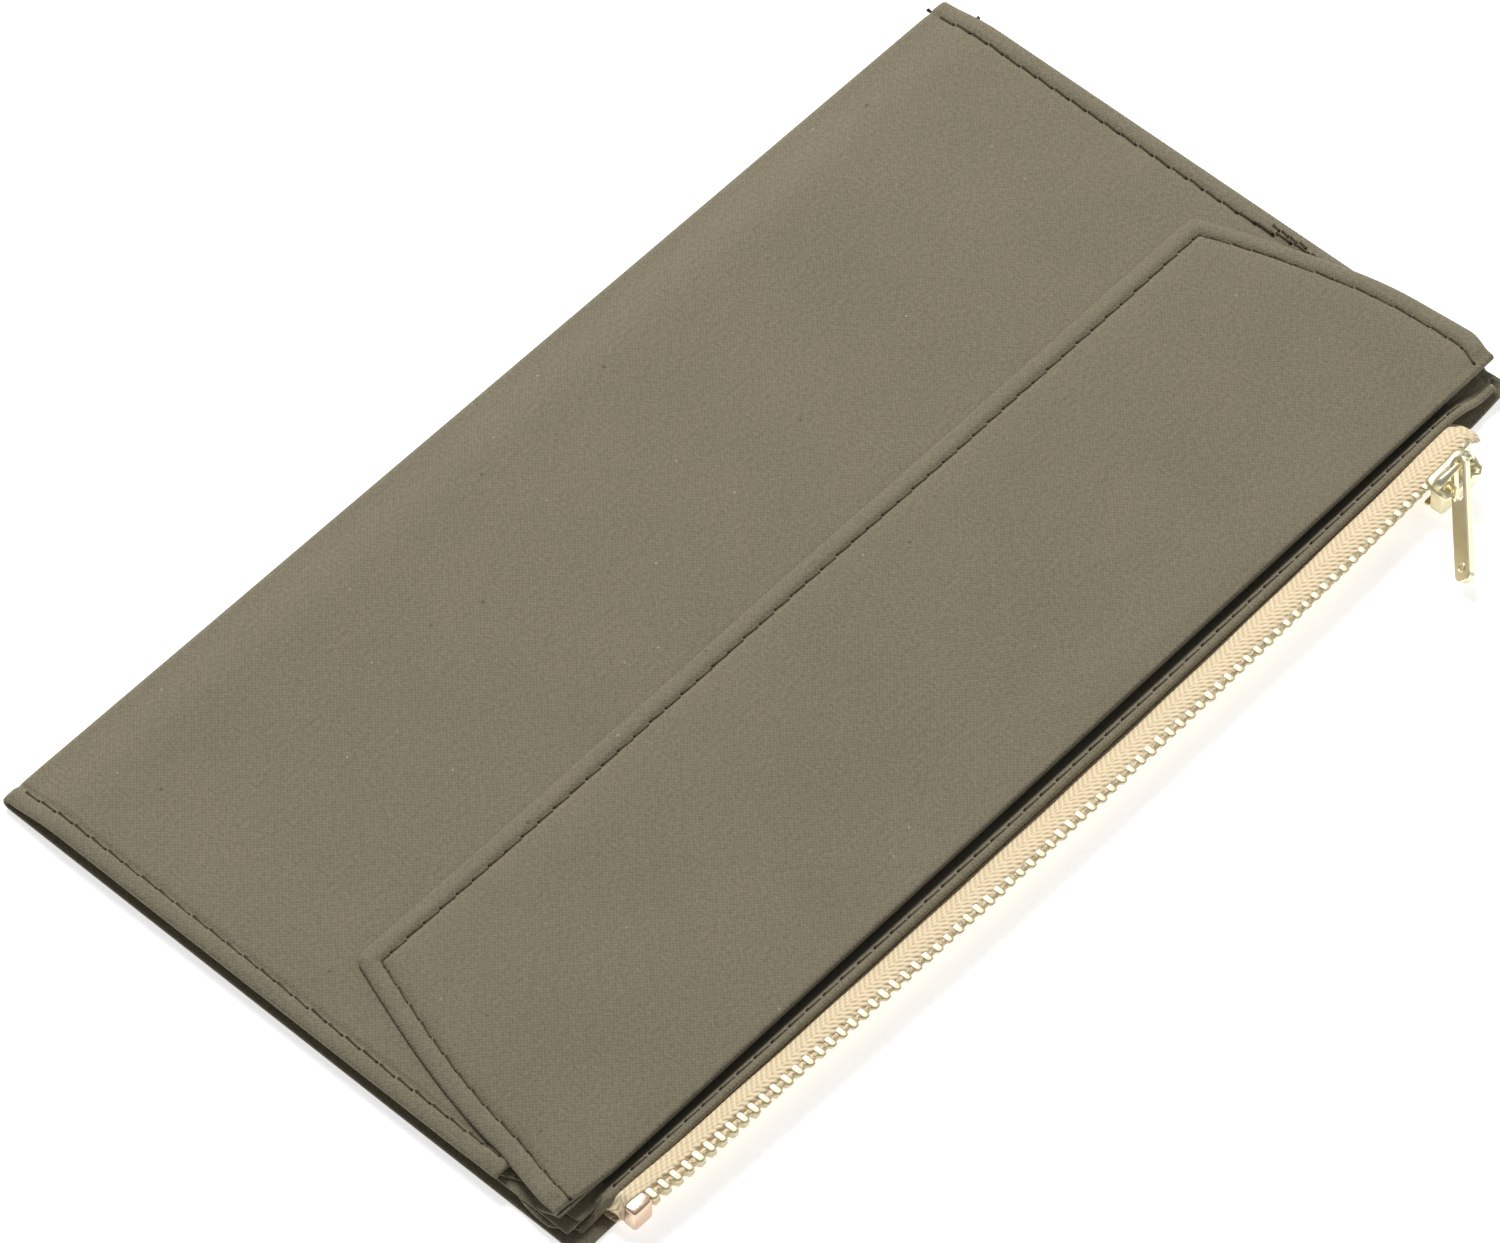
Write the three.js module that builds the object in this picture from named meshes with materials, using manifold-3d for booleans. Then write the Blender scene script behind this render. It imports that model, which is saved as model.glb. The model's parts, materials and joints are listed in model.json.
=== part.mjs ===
// Flat cloth money pouch with a fold-over flap, a gusseted main pocket and a second pocket behind it
// that a metal zip closes along the mouth edge.
//
// Millimetres. The pouch lies on its back: +Z up, +X along the long side towards the end where the
// slider stops when the zip is closed, +Y towards the bottom fold. The origin is on the underside,
// midway between the two ends and midway between the bottom fold and the flap fold.
import * as THREE from 'three';
import { mergeVertices } from 'three/addons/utils/BufferGeometryUtils.js';
import Module from 'manifold-3d';

const wasm = await Module();
wasm.setup();

// ---- driving sizes: the pouch ----
const BAG_LENGTH = 200;        // end to end
const BAG_DEPTH = 107;         // bottom fold to flap fold
const CLOTH = 0.4;             // outer cloth
const LINING = 0.3;            // lining cloth
const INTERLINING = 0.25;      // stiffener inside the flap
const LAYER_GAP = 0.15;        // air between two layers
const MOUTH_SETBACK = 11.5;    // flap fold to the front panel's mouth hem
const LINING_INSET = 0.8;      // linings end this far inside the outer cloth
const GUSSET_DEPTH = 9.5;      // how far the side folds tuck in
const FLAP_DEPTH = 49.8;       // flap fold to the flap's free edge
const FLAP_TAPER = 10.5;       // each flap end slants in by this much
const FLAP_CORNER = 1.5;       // radius of the flap's corners
const THREAD_WIDTH = 0.6;
const THREAD_HEIGHT = 0.15;
const THREAD_GAP = 0.05;       // thread above the cloth it sits on
const STITCH_MARGIN = 3;       // edge to stitch line

// ---- driving sizes: the zip ----
const ZIP_OVERHANG = 7.2;      // flap fold to the middle of the chain
const CHAIN_HEIGHT = 3.4;      // middle of the chain above the underside
const CHAIN_HALF = 1.9;        // half the chain's width
const CHAIN_THICK = 2.0;
const CHANNEL_HALF = 0.5;      // half the way kept free for the slider's wedge
const CORD_WIDTH = 0.75;       // bead cord that the teeth are clamped on
const TOOTH_PITCH = 2.15;
const TOOTH_WIDTH = 1.1;
const TAPE = 0.3;
const TAPE_LAP = 5;            // tape sewn behind the cloth's edge
const TAPE_TAIL_LEFT = 3.4;    // tape past the bottom stop
const TAPE_TAIL_RIGHT = 6;     // tape past the top stops' inner ends
const CHAIN_LEFT = 7.6;        // bag's end to the bottom stop
const CHAIN_RIGHT = 16;        // bag's end to the top stops
const STOP_LENGTH = 3;
const TOP_STOP_LENGTH = 1.6;
const CLEARANCE = 0.3;         // running clearance round the chain
const SLIDER_LENGTH = 9;
const SLIDER_WALL = 0.5;       // plate behind the chain
const SLIDER_FRONT = 0.8;      // wall in front of the chain
const CROWN_HALF = 2.3;        // half the crown plate's width
const CROWN_THICK = 0.8;
const CROWN_TILT = 74;         // degrees the crown's face is tipped up from facing straight out
const CROWN_OUT = 2.7;         // crown's middle outside the chain's middle
const CROWN_UP = 2.1;          // and above it
const BRIDGE_HALF = 3.7;       // half the bridge's length
const BRIDGE_RISE = 2.3;       // bar's middle above the crown
const BRIDGE_BAR = 0.6;
const BRIDGE_WIDTH = 0.9;
const PULL_LENGTH = 17.3;      // bridge bar to the tip
const PULL_WIDTH = 3.2;
const PULL_THICK = 1.2;
const PULL_WALL = 0.7;         // metal round the pull's slot
const PULL_SLOT = 6;
const PULL_REACH = 1.9;        // bar's middle to the slot's root end
const PULL_REST = 47;          // degrees from straight out, towards the bottom stop
const PULL_ROLL = 53;          // the loose slot lets the pull lean on its edge
const PULL_DROOP = 20.5;       // it slopes down to the surface that the pouch lies on

const radians = THREE.MathUtils.degToRad;
const halfLength = BAG_LENGTH / 2;
const bottomFold = BAG_DEPTH / 2;
const flapFold = -BAG_DEPTH / 2;

// ---- layer heights, from the underside up: each value is the underside of that layer ----
const backLiningZ = CLOTH + LAYER_GAP;
const dividerLiningZ = backLiningZ + LINING + LAYER_GAP;
const dividerZ = dividerLiningZ + LINING + LAYER_GAP;
const pocketLiningZ = dividerZ + CLOTH + LAYER_GAP;
const gussetTopZ = pocketLiningZ + LINING + LAYER_GAP;
const frontLiningZ = gussetTopZ + LINING + LAYER_GAP;
const frontZ = frontLiningZ + LINING + LAYER_GAP;
const flapLiningZ = frontZ + CLOTH + THREAD_GAP + THREAD_HEIGHT + LAYER_GAP;
const interliningZ = flapLiningZ + LINING + LAYER_GAP;
const flapZ = interliningZ + INTERLINING + LAYER_GAP;

// ---- finishes ----
const finish = (color, roughness, metalness = 0) => ({ color, roughness, metalness });
const OLIVE_CLOTH = finish(0x89816c, 0.85);
const LINING_CLOTH = finish(0x7b745f, 0.9);
const STIFFENER = finish(0xc9c4b4, 0.95);
const TAPE_CLOTH = finish(0xe1d0b4, 0.8);
const DARK_THREAD = finish(0x554b32, 0.8);
const PALE_GOLD = finish(0xd9cf9a, 0.25, 1);
const ROSE_GOLD = finish(0xcdb297, 0.3, 1);

const pouch = new THREE.Group();

function addPiece(name, geometry, look) {
  const mesh = new THREE.Mesh(geometry, new THREE.MeshStandardMaterial(look));
  mesh.name = name;
  pouch.add(mesh);
  return mesh;
}

// ---- shape helpers ----
const vec2 = (x, y) => new THREE.Vector2(x, y);

// A section drawn in (Y, Z), extruded along X.
function extrudeAlongX(shape, x0, x1) {
  const geometry = new THREE.ExtrudeGeometry(shape, { depth: x1 - x0, bevelEnabled: false });
  const turn = new THREE.Matrix4().makeBasis(
    new THREE.Vector3(0, 1, 0), new THREE.Vector3(0, 0, 1), new THREE.Vector3(1, 0, 0));
  return geometry.applyMatrix4(turn).translate(x0, 0, 0);
}

// A section drawn in (X, Z), extruded along Y.
function extrudeAlongY(shape, y0, y1) {
  const geometry = new THREE.ExtrudeGeometry(shape, { depth: y1 - y0, bevelEnabled: false });
  return geometry.rotateX(Math.PI / 2).translate(0, y1, 0);
}

// A plan drawn in (X, Y), extruded up from z0.
function extrudeUp(shape, z0, height) {
  const geometry = new THREE.ExtrudeGeometry(shape, { depth: height, bevelEnabled: false });
  return geometry.translate(0, 0, z0);
}

function boxBetween(x0, x1, y0, y1, z0, z1) {
  return new THREE.BoxGeometry(x1 - x0, y1 - y0, z1 - z0)
    .translate((x0 + x1) / 2, (y0 + y1) / 2, (z0 + z1) / 2);
}

// The outline of a strip of even thickness whose middle follows an open line.
function stripShape(line, thickness) {
  const left = [];
  const right = [];
  line.forEach((point, i) => {
    const before = i > 0 ? point.clone().sub(line[i - 1]).normalize() : null;
    const after = i < line.length - 1 ? line[i + 1].clone().sub(point).normalize() : null;
    const along = (before ?? after).clone().add(after ?? before).normalize();
    const normal = vec2(-along.y, along.x);
    const reach = (thickness / 2) / normal.dot(vec2(-(after ?? before).y, (after ?? before).x));
    left.push(point.clone().addScaledVector(normal, reach));
    right.push(point.clone().addScaledVector(normal, -reach));
  });
  return new THREE.Shape([...left, ...right.reverse()]);
}

// Points on an arc about a centre, from one angle to another in degrees.
function arcPoints(centre, radius, fromDeg, toDeg, steps) {
  return Array.from({ length: steps + 1 }, (_, i) => {
    const angle = radians(fromDeg + (toDeg - fromDeg) * i / steps);
    return vec2(centre.x + radius * Math.cos(angle), centre.y + radius * Math.sin(angle));
  });
}

function toSolid(geometry) {
  geometry.deleteAttribute('normal');
  geometry.deleteAttribute('uv');
  const merged = mergeVertices(geometry, 1e-4);
  return new wasm.Manifold(new wasm.Mesh({
    numProp: 3, vertProperties: merged.attributes.position.array, triVerts: merged.index.array }));
}

function toGeometry(solid) {
  const mesh = solid.getMesh();
  const geometry = new THREE.BufferGeometry();
  geometry.setAttribute('position', new THREE.BufferAttribute(mesh.vertProperties, 3));
  geometry.setIndex(new THREE.BufferAttribute(mesh.triVerts, 1));
  return geometry;
}

function join(geometries) {
  return toGeometry(geometries.map(toSolid).reduce((whole, part) => whole.add(part)));
}

// ---- outer cloth: the back and front panels meet at the bottom fold ----
const frontMouth = flapFold + MOUTH_SETBACK;
const dividerMouth = flapFold - ZIP_OVERHANG + 3.4;   // mouth edge of the cloth behind the zip tape
const backMiddle = CLOTH / 2;
const frontMiddle = frontZ + CLOTH / 2;
const foldRadius = (frontMiddle - backMiddle) / 2;
const foldCentre = vec2(bottomFold - foldRadius - CLOTH / 2, (frontMiddle + backMiddle) / 2);
const FRONT_ARC_END = 15;      // degrees: leaves the front panel room to swing on the fold

function buildOuterPanels() {
  const backLine = [vec2(dividerMouth, backMiddle), ...arcPoints(foldCentre, foldRadius, -90, 0, 6)];
  const frontLine = [vec2(frontMouth, frontMiddle),
    ...arcPoints(foldCentre, foldRadius, 90, FRONT_ARC_END, 5)];
  addPiece('back_panel', extrudeAlongX(stripShape(backLine, CLOTH), -halfLength, halfLength), OLIVE_CLOTH);
  addPiece('front_panel', extrudeAlongX(stripShape(frontLine, CLOTH), -halfLength, halfLength), OLIVE_CLOTH);
}

// ---- linings: flat leaves between the outer cloths ----
const liningBottom = foldCentre.x - LINING_INSET;
const tapeStart = dividerMouth + TAPE_LAP;

function buildLinings() {
  const side = halfLength - LINING_INSET;
  const pocketSide = side - GUSSET_DEPTH - CLEARANCE;
  const leaf = (name, halfWidth, mouth, z) => addPiece(name,
    boxBetween(-halfWidth, halfWidth, mouth, liningBottom, z, z + LINING), LINING_CLOTH);
  leaf('back_lining', side, tapeStart + LINING_INSET, backLiningZ);
  leaf('divider_lining', side, tapeStart + LINING_INSET, dividerLiningZ);
  leaf('pocket_lining', pocketSide, frontMouth, pocketLiningZ);
  leaf('front_lining', side, frontMouth + LINING_INSET, frontLiningZ);
}

// ---- divider: the wall between the two pockets; its mouth edge rises onto the zip tape ----
const tapeCrest = CHAIN_HEIGHT + CHAIN_HALF + 0.65;
const dividerRise = flapFold - 0.3;
const dividerLine = [
  vec2(liningBottom, dividerZ + CLOTH / 2),
  vec2(flapFold + 3, dividerZ + CLOTH / 2),
  vec2(dividerRise, dividerZ + CLOTH / 2 + 0.65),
  vec2(dividerMouth, tapeCrest - 1),
];

function buildDivider() {
  addPiece('divider', extrudeAlongX(stripShape(dividerLine, CLOTH), -halfLength, halfLength), OLIVE_CLOTH);
}

// ---- side gussets: a strip folded inwards, one leaf towards each pocket wall ----
function buildGusset(name, side) {
  const low = pocketLiningZ + LINING / 2;
  const high = gussetTopZ + LINING / 2;
  const bend = (high - low) / 2;
  const outer = halfLength - LINING_INSET;
  const inner = outer - GUSSET_DEPTH + bend;
  const fold = arcPoints(vec2(inner, (low + high) / 2), bend, 270, 90, 4);
  const line = [vec2(outer, low), ...fold, vec2(outer, high)].map((p) => vec2(side * p.x, p.y));
  const mouth = frontMouth + LINING_INSET;
  addPiece(name, extrudeAlongY(stripShape(line, LINING), mouth, liningBottom), OLIVE_CLOTH);
}

// ---- flap: outer cloth, stiffener and lining, cut to one slanted outline ----
const flapTip = flapFold + FLAP_DEPTH;

function flapOutline(inset, root) {
  const rootHalf = halfLength - 0.5 - inset;
  const tipHalf = rootHalf - FLAP_TAPER;
  const tip = flapTip - inset;
  const slant = vec2(tipHalf - rootHalf, tip - root).normalize().multiplyScalar(FLAP_CORNER);
  const shape = new THREE.Shape();
  shape.moveTo(-rootHalf, root);
  shape.lineTo(rootHalf, root);
  shape.lineTo(tipHalf - slant.x, tip - slant.y);
  shape.quadraticCurveTo(tipHalf, tip, tipHalf - FLAP_CORNER, tip);
  shape.lineTo(-tipHalf + FLAP_CORNER, tip);
  shape.quadraticCurveTo(-tipHalf, tip, -tipHalf + slant.x, tip - slant.y);
  return shape;
}

function buildFlap() {
  addPiece('flap_lining', extrudeUp(flapOutline(0.2, flapFold + 1), flapLiningZ, LINING), LINING_CLOTH);
  addPiece('flap_interlining', extrudeUp(flapOutline(0.8, flapFold + 0.8), interliningZ, INTERLINING), STIFFENER);
  addPiece('flap_outer', extrudeUp(flapOutline(0, flapFold), flapZ, CLOTH), OLIVE_CLOTH);
}

// ---- seams: the thread that shows on the outside ----
function buildThreads() {
  const seamZ = frontZ + CLOTH + THREAD_GAP;
  const seamX = halfLength - STITCH_MARGIN;
  for (const [name, x] of [['thread_side_left', -seamX], ['thread_side_right', seamX]]) {
    addPiece(name, boxBetween(x - THREAD_WIDTH / 2, x + THREAD_WIDTH / 2,
      frontMouth + 1, foldCentre.x, seamZ, seamZ + THREAD_HEIGHT), DARK_THREAD);
  }
  const rootX = halfLength - 0.5 - STITCH_MARGIN;
  const tipX = rootX - FLAP_TAPER * (1 - STITCH_MARGIN / FLAP_DEPTH);
  const flapLine = [vec2(-rootX, flapFold + 0.5), vec2(-tipX, flapTip - STITCH_MARGIN),
    vec2(tipX, flapTip - STITCH_MARGIN), vec2(rootX, flapFold + 0.5)];
  addPiece('thread_flap', extrudeUp(stripShape(flapLine, THREAD_WIDTH),
    flapZ + CLOTH + THREAD_GAP, THREAD_HEIGHT), DARK_THREAD);
  // The zip's stitch line lies on the rising edge of the divider.
  const [from, to] = dividerLine.slice(-2);
  const along = to.clone().sub(from).normalize();
  const up = vec2(along.y, -along.x);
  const middle = to.clone().addScaledVector(along, -1.3)
    .addScaledVector(up, CLOTH / 2 + THREAD_GAP + THREAD_HEIGHT / 2);
  const ends = [-0.5, 0.5].map((k) => middle.clone().addScaledVector(along, k * THREAD_WIDTH));
  addPiece('thread_zip', extrudeAlongX(stripShape(ends, THREAD_HEIGHT),
    -halfLength + CHAIN_LEFT, halfLength - CHAIN_LEFT), DARK_THREAD);
}

// ---- zip: two tapes, two rows of teeth on their cords, stops ----
const chainY = flapFold - ZIP_OVERHANG;
const chainLeft = -halfLength + CHAIN_LEFT;
const chainRight = halfLength - CHAIN_RIGHT;
const tapeEdge = CHAIN_HALF + LAYER_GAP;          // tape starts this far from the chain's middle

function buildTapes() {
  const left = chainLeft - TAPE_TAIL_LEFT;
  const right = chainRight + TAPE_TAIL_RIGHT;
  const under = CLOTH / 2 + LAYER_GAP + TAPE / 2; // tape lies below the divider's middle line
  const front = [
    vec2(tapeStart, dividerLiningZ + TAPE / 2),
    vec2(dividerRise - 0.1, dividerLine[2].y - under - 0.1),
    vec2(dividerMouth + 0.1, dividerLine[3].y - under - 0.1),
    vec2(chainY + 1.6, tapeCrest - 0.35),
    vec2(chainY + 0.7, tapeCrest),
    vec2(chainY + 0.1, tapeCrest - 0.15),
    vec2(chainY, CHAIN_HEIGHT + tapeEdge),
  ];
  const low = 2 * CHAIN_HEIGHT - tapeCrest;
  const back = [
    vec2(tapeStart, backLiningZ + TAPE / 2),
    vec2(chainY + 1.6, backLiningZ + TAPE / 2),
    vec2(chainY + 0.5, low),
    vec2(chainY + 0.1, low + 0.15),
    vec2(chainY, CHAIN_HEIGHT - tapeEdge),
  ];
  addPiece('zip_tape_front', extrudeAlongX(stripShape(front, TAPE), left, right), TAPE_CLOTH);
  addPiece('zip_tape_back', extrudeAlongX(stripShape(back, TAPE), left, right), TAPE_CLOTH);
}

// One row: a comb of teeth joined by the cord. side is +1 for the upper row and -1 for the lower.
function buildTeeth(name, side) {
  const first = chainLeft + STOP_LENGTH + CLEARANCE + (side > 0 ? 0 : TOOTH_PITCH / 2);
  const count = Math.floor((chainRight - CLEARANCE - first - TOOTH_WIDTH) / TOOTH_PITCH) + 1;
  const z = (distance) => CHAIN_HEIGHT + side * distance;
  const outline = [];
  for (let i = 0; i < count; i += 1) {
    const x = first + i * TOOTH_PITCH;
    outline.push(vec2(x, z(CHAIN_HALF - CORD_WIDTH)), vec2(x, z(CHANNEL_HALF)),
      vec2(x + TOOTH_WIDTH, z(CHANNEL_HALF)), vec2(x + TOOTH_WIDTH, z(CHAIN_HALF - CORD_WIDTH)));
  }
  outline.shift();
  outline.pop();
  const end = first + (count - 1) * TOOTH_PITCH + TOOTH_WIDTH;
  outline.push(vec2(end, z(CHAIN_HALF)), vec2(first, z(CHAIN_HALF)));
  addPiece(name, extrudeAlongY(new THREE.Shape(outline),
    chainY - CHAIN_THICK / 2, chainY + CHAIN_THICK / 2), PALE_GOLD);
}

function buildStops() {
  const y0 = chainY - CHAIN_THICK / 2;
  const y1 = chainY + CHAIN_THICK / 2;
  addPiece('bottom_stop', boxBetween(chainLeft, chainLeft + STOP_LENGTH, y0, y1,
    CHAIN_HEIGHT - CHAIN_HALF, CHAIN_HEIGHT + CHAIN_HALF), ROSE_GOLD);
  for (const [name, side] of [['top_stop_front', 1], ['top_stop_back', -1]]) {
    const ends = [CHANNEL_HALF, CHAIN_HALF].map((d) => CHAIN_HEIGHT + side * d).sort((a, b) => a - b);
    addPiece(name, boxBetween(chainRight, chainRight + TOP_STOP_LENGTH, y0, y1, ...ends), PALE_GOLD);
  }
}

// ---- slider: a tipped crown plate, the walls round the chain, and the wedge that joins them ----
const channelHalf = CHAIN_HALF + CLEARANCE;
const channelY0 = chainY - CHAIN_THICK / 2 - CLEARANCE;
const channelY1 = chainY + CHAIN_THICK / 2 + CLEARANCE;
const sliderX = chainRight - CLEARANCE - SLIDER_LENGTH / 2;
const crownY = chainY - CROWN_OUT;
const crownZ = CHAIN_HEIGHT + CROWN_UP;

// Moves a shape made about the crown's middle, its face towards +Y, to the crown's place and tilt.
function placeOnCrown(geometry) {
  return geometry.rotateX(radians(180 - CROWN_TILT)).translate(sliderX, crownY, crownZ);
}

// The crown seen from its face: broad where the teeth part, narrower where they leave together.
function crownOutline() {
  const end = SLIDER_LENGTH / 2;
  const tail = CROWN_HALF * 0.8;
  const points = [[-end, -tail * 0.8], [-end + 1, -tail], [0, -tail], [end - 2, -CROWN_HALF],
    [end - 0.5, -CROWN_HALF], [end, -CROWN_HALF * 0.8]];
  const upper = points.map(([x, z]) => [x, -z]).reverse();
  return new THREE.Shape([...points, ...upper].map(([x, z]) => vec2(x, z)));
}

function buildSlider() {
  const x0 = sliderX - SLIDER_LENGTH / 2 + 0.5;
  const x1 = sliderX + SLIDER_LENGTH / 2 - 0.5;
  const sink = 0.1;                    // joined parts run this far into each other
  const lip = channelHalf + SLIDER_WALL;
  const innerHalf = CHAIN_HALF - LAYER_GAP;
  const crown = placeOnCrown(extrudeAlongY(crownOutline(), -CROWN_THICK / 2, CROWN_THICK / 2));
  const front = boxBetween(x0, x1, channelY0 - SLIDER_FRONT, channelY0, CHAIN_HEIGHT - lip, crownZ);
  const flange = boxBetween(x0, x1, channelY0 - sink, chainY - TAPE / 2 - CLEARANCE,
    CHAIN_HEIGHT - lip, CHAIN_HEIGHT - channelHalf);
  const behind = boxBetween(x0, x1, channelY1, channelY1 + SLIDER_WALL,
    CHAIN_HEIGHT - innerHalf, CHAIN_HEIGHT + innerHalf);
  const wedgeHalf = CHANNEL_HALF - CLEARANCE;
  const wedge = boxBetween(sliderX + 1, x1 - 0.3, channelY0 - sink, channelY1 + sink,
    CHAIN_HEIGHT - wedgeHalf, CHAIN_HEIGHT + wedgeHalf);
  addPiece('slider_body', join([crown, front, flange, behind, wedge]), PALE_GOLD);
}

function buildBridge() {
  const foot = CROWN_THICK / 2 + CLEARANCE;
  const bar = CROWN_THICK / 2 + BRIDGE_RISE;
  const top = bar + BRIDGE_BAR / 2;
  const under = bar - BRIDGE_BAR / 2;
  const end = BRIDGE_HALF;
  const points = [[-end, foot], [-end, under], [-end + 0.9, top], [end - 0.9, top], [end, under],
    [end, foot], [end - 1, foot], [end - 1, under], [-end + 1, under], [-end + 1, foot]];
  const arch = extrudeUp(new THREE.Shape(points.map(([x, y]) => vec2(x, y)).reverse()),
    -BRIDGE_WIDTH / 2, BRIDGE_WIDTH);
  addPiece('slider_bridge', placeOnCrown(arch), PALE_GOLD);
}

// ---- pull: a flat bar hung on the bridge by its slot, with a small hole at the tip ----
function buildPull() {
  const root = -PULL_REACH - PULL_WALL;
  const corner = 0.6;
  const half = PULL_WIDTH / 2;
  const shape = new THREE.Shape();
  shape.moveTo(root + corner, -half);
  shape.lineTo(PULL_LENGTH - half, -half);
  shape.absarc(PULL_LENGTH - half, 0, half, -Math.PI / 2, Math.PI / 2);
  shape.lineTo(root + corner, half);
  shape.lineTo(root, half - corner);
  shape.lineTo(root, -half + corner);
  const slot = new THREE.Path();
  const slotHalf = half - PULL_WALL;
  slot.moveTo(-PULL_REACH, -slotHalf);
  slot.lineTo(-PULL_REACH, slotHalf);
  slot.lineTo(-PULL_REACH + PULL_SLOT, slotHalf);
  slot.lineTo(-PULL_REACH + PULL_SLOT, -slotHalf);
  const eye = new THREE.Path().absarc(PULL_LENGTH - half - corner, 0, 0.45, 0, 2 * Math.PI, true);
  shape.holes.push(slot, eye);
  const plate = new THREE.ExtrudeGeometry(shape,
    { depth: PULL_THICK, bevelEnabled: false, curveSegments: 10 }).translate(0, 0, -PULL_THICK / 2);
  const mesh = addPiece('pull_tab', plate, PALE_GOLD);
  const barHeight = CROWN_THICK / 2 + BRIDGE_RISE;
  const tilt = radians(CROWN_TILT);
  mesh.position.set(sliderX, crownY - barHeight * Math.cos(tilt), crownZ + barHeight * Math.sin(tilt));
  // Local X runs along the pull, from the bar to the tip.
  mesh.rotation.order = 'ZYX';
  mesh.rotation.set(radians(PULL_ROLL), radians(PULL_DROOP), radians(-90 - PULL_REST));
}

buildOuterPanels();
buildLinings();
buildDivider();
buildGusset('gusset_left', -1);
buildGusset('gusset_right', 1);
buildFlap();
buildThreads();
buildTapes();
buildTeeth('teeth_front', 1);
buildTeeth('teeth_back', -1);
buildStops();
buildSlider();
buildBridge();
buildPull();

export default pouch;
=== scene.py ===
"""A flat cloth money pouch lying on its back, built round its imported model.

A fold-over flap covers a gusseted main pocket, and a metal zip closes a second pocket behind it.
Points are worked out in millimetres in the model's own frame and put into the meshes in metres.
"""
import json

import bpy
import numpy as np
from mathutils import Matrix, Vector


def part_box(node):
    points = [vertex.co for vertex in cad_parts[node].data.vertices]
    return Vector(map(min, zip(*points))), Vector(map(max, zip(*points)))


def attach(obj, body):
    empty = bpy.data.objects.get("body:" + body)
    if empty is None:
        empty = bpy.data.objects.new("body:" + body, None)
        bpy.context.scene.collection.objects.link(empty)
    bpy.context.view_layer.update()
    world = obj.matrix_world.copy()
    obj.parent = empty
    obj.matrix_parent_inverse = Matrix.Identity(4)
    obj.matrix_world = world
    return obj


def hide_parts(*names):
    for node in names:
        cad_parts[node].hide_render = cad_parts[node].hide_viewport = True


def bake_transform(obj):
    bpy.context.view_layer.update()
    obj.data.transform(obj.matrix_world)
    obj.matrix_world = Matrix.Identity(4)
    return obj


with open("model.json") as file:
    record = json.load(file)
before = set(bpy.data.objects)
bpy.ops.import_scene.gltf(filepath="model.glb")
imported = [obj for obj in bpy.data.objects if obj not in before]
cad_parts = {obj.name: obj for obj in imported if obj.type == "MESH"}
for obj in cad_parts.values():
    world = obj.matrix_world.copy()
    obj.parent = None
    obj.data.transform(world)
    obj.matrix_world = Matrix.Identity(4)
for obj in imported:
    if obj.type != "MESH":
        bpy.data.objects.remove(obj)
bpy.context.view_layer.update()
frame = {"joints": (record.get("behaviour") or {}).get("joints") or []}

# ---- camera ------------------------------------------------------------------------------------
# It looks down at about 54 degrees across the pouch's front left corner, through a long lens.
MM = 0.001
CAMERA_PLACE = (-482.01, -434.88, 872.40)
CAMERA_TARGET = (-5.67, -2.85, 0.0)
camera = bpy.data.objects.new("camera", bpy.data.cameras.new("camera"))
camera.data.lens = 181.44
camera.data.sensor_width = 36
camera.data.clip_end = 20
camera.location = Vector(CAMERA_PLACE) * MM
camera.rotation_euler = (Vector(CAMERA_TARGET) - Vector(CAMERA_PLACE)).to_track_quat("-Z", "Y").to_euler()
bpy.context.scene.collection.objects.link(camera)
bpy.context.scene.camera = camera
bpy.context.scene.view_settings.view_transform = "Standard"


# ---- floor and light ---------------------------------------------------------------------------
# A white table lit faintly from within, under two broad soft lights. Each finish is a small recipe:
# its node tree is built from Python expressions, in which a Value stands for what a socket carries.
class Value:
    """One shader value. Arithmetic on it adds Math nodes to its recipe's tree."""

    def __init__(self, recipe, socket):
        self.recipe = recipe
        self.socket = socket

    def maths(self, operation, *values):
        return self.recipe.node("ShaderNodeMath", {"operation": operation}, dict(enumerate(values)))

    def __add__(self, other):
        return self.maths("ADD", self, other)

    def __radd__(self, other):
        return self.maths("ADD", other, self)

    def __sub__(self, other):
        return self.maths("SUBTRACT", self, other)

    def __rsub__(self, other):
        return self.maths("SUBTRACT", other, self)

    def __mul__(self, other):
        return self.maths("MULTIPLY", self, other)

    def __rmul__(self, other):
        return self.maths("MULTIPLY", other, self)

    def __lt__(self, other):
        return self.maths("LESS_THAN", self, other)

    def sine(self):
        return self.maths("SINE", self)

    def clamped(self):
        return self.recipe.node("ShaderNodeClamp", {}, {0: self})


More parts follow.
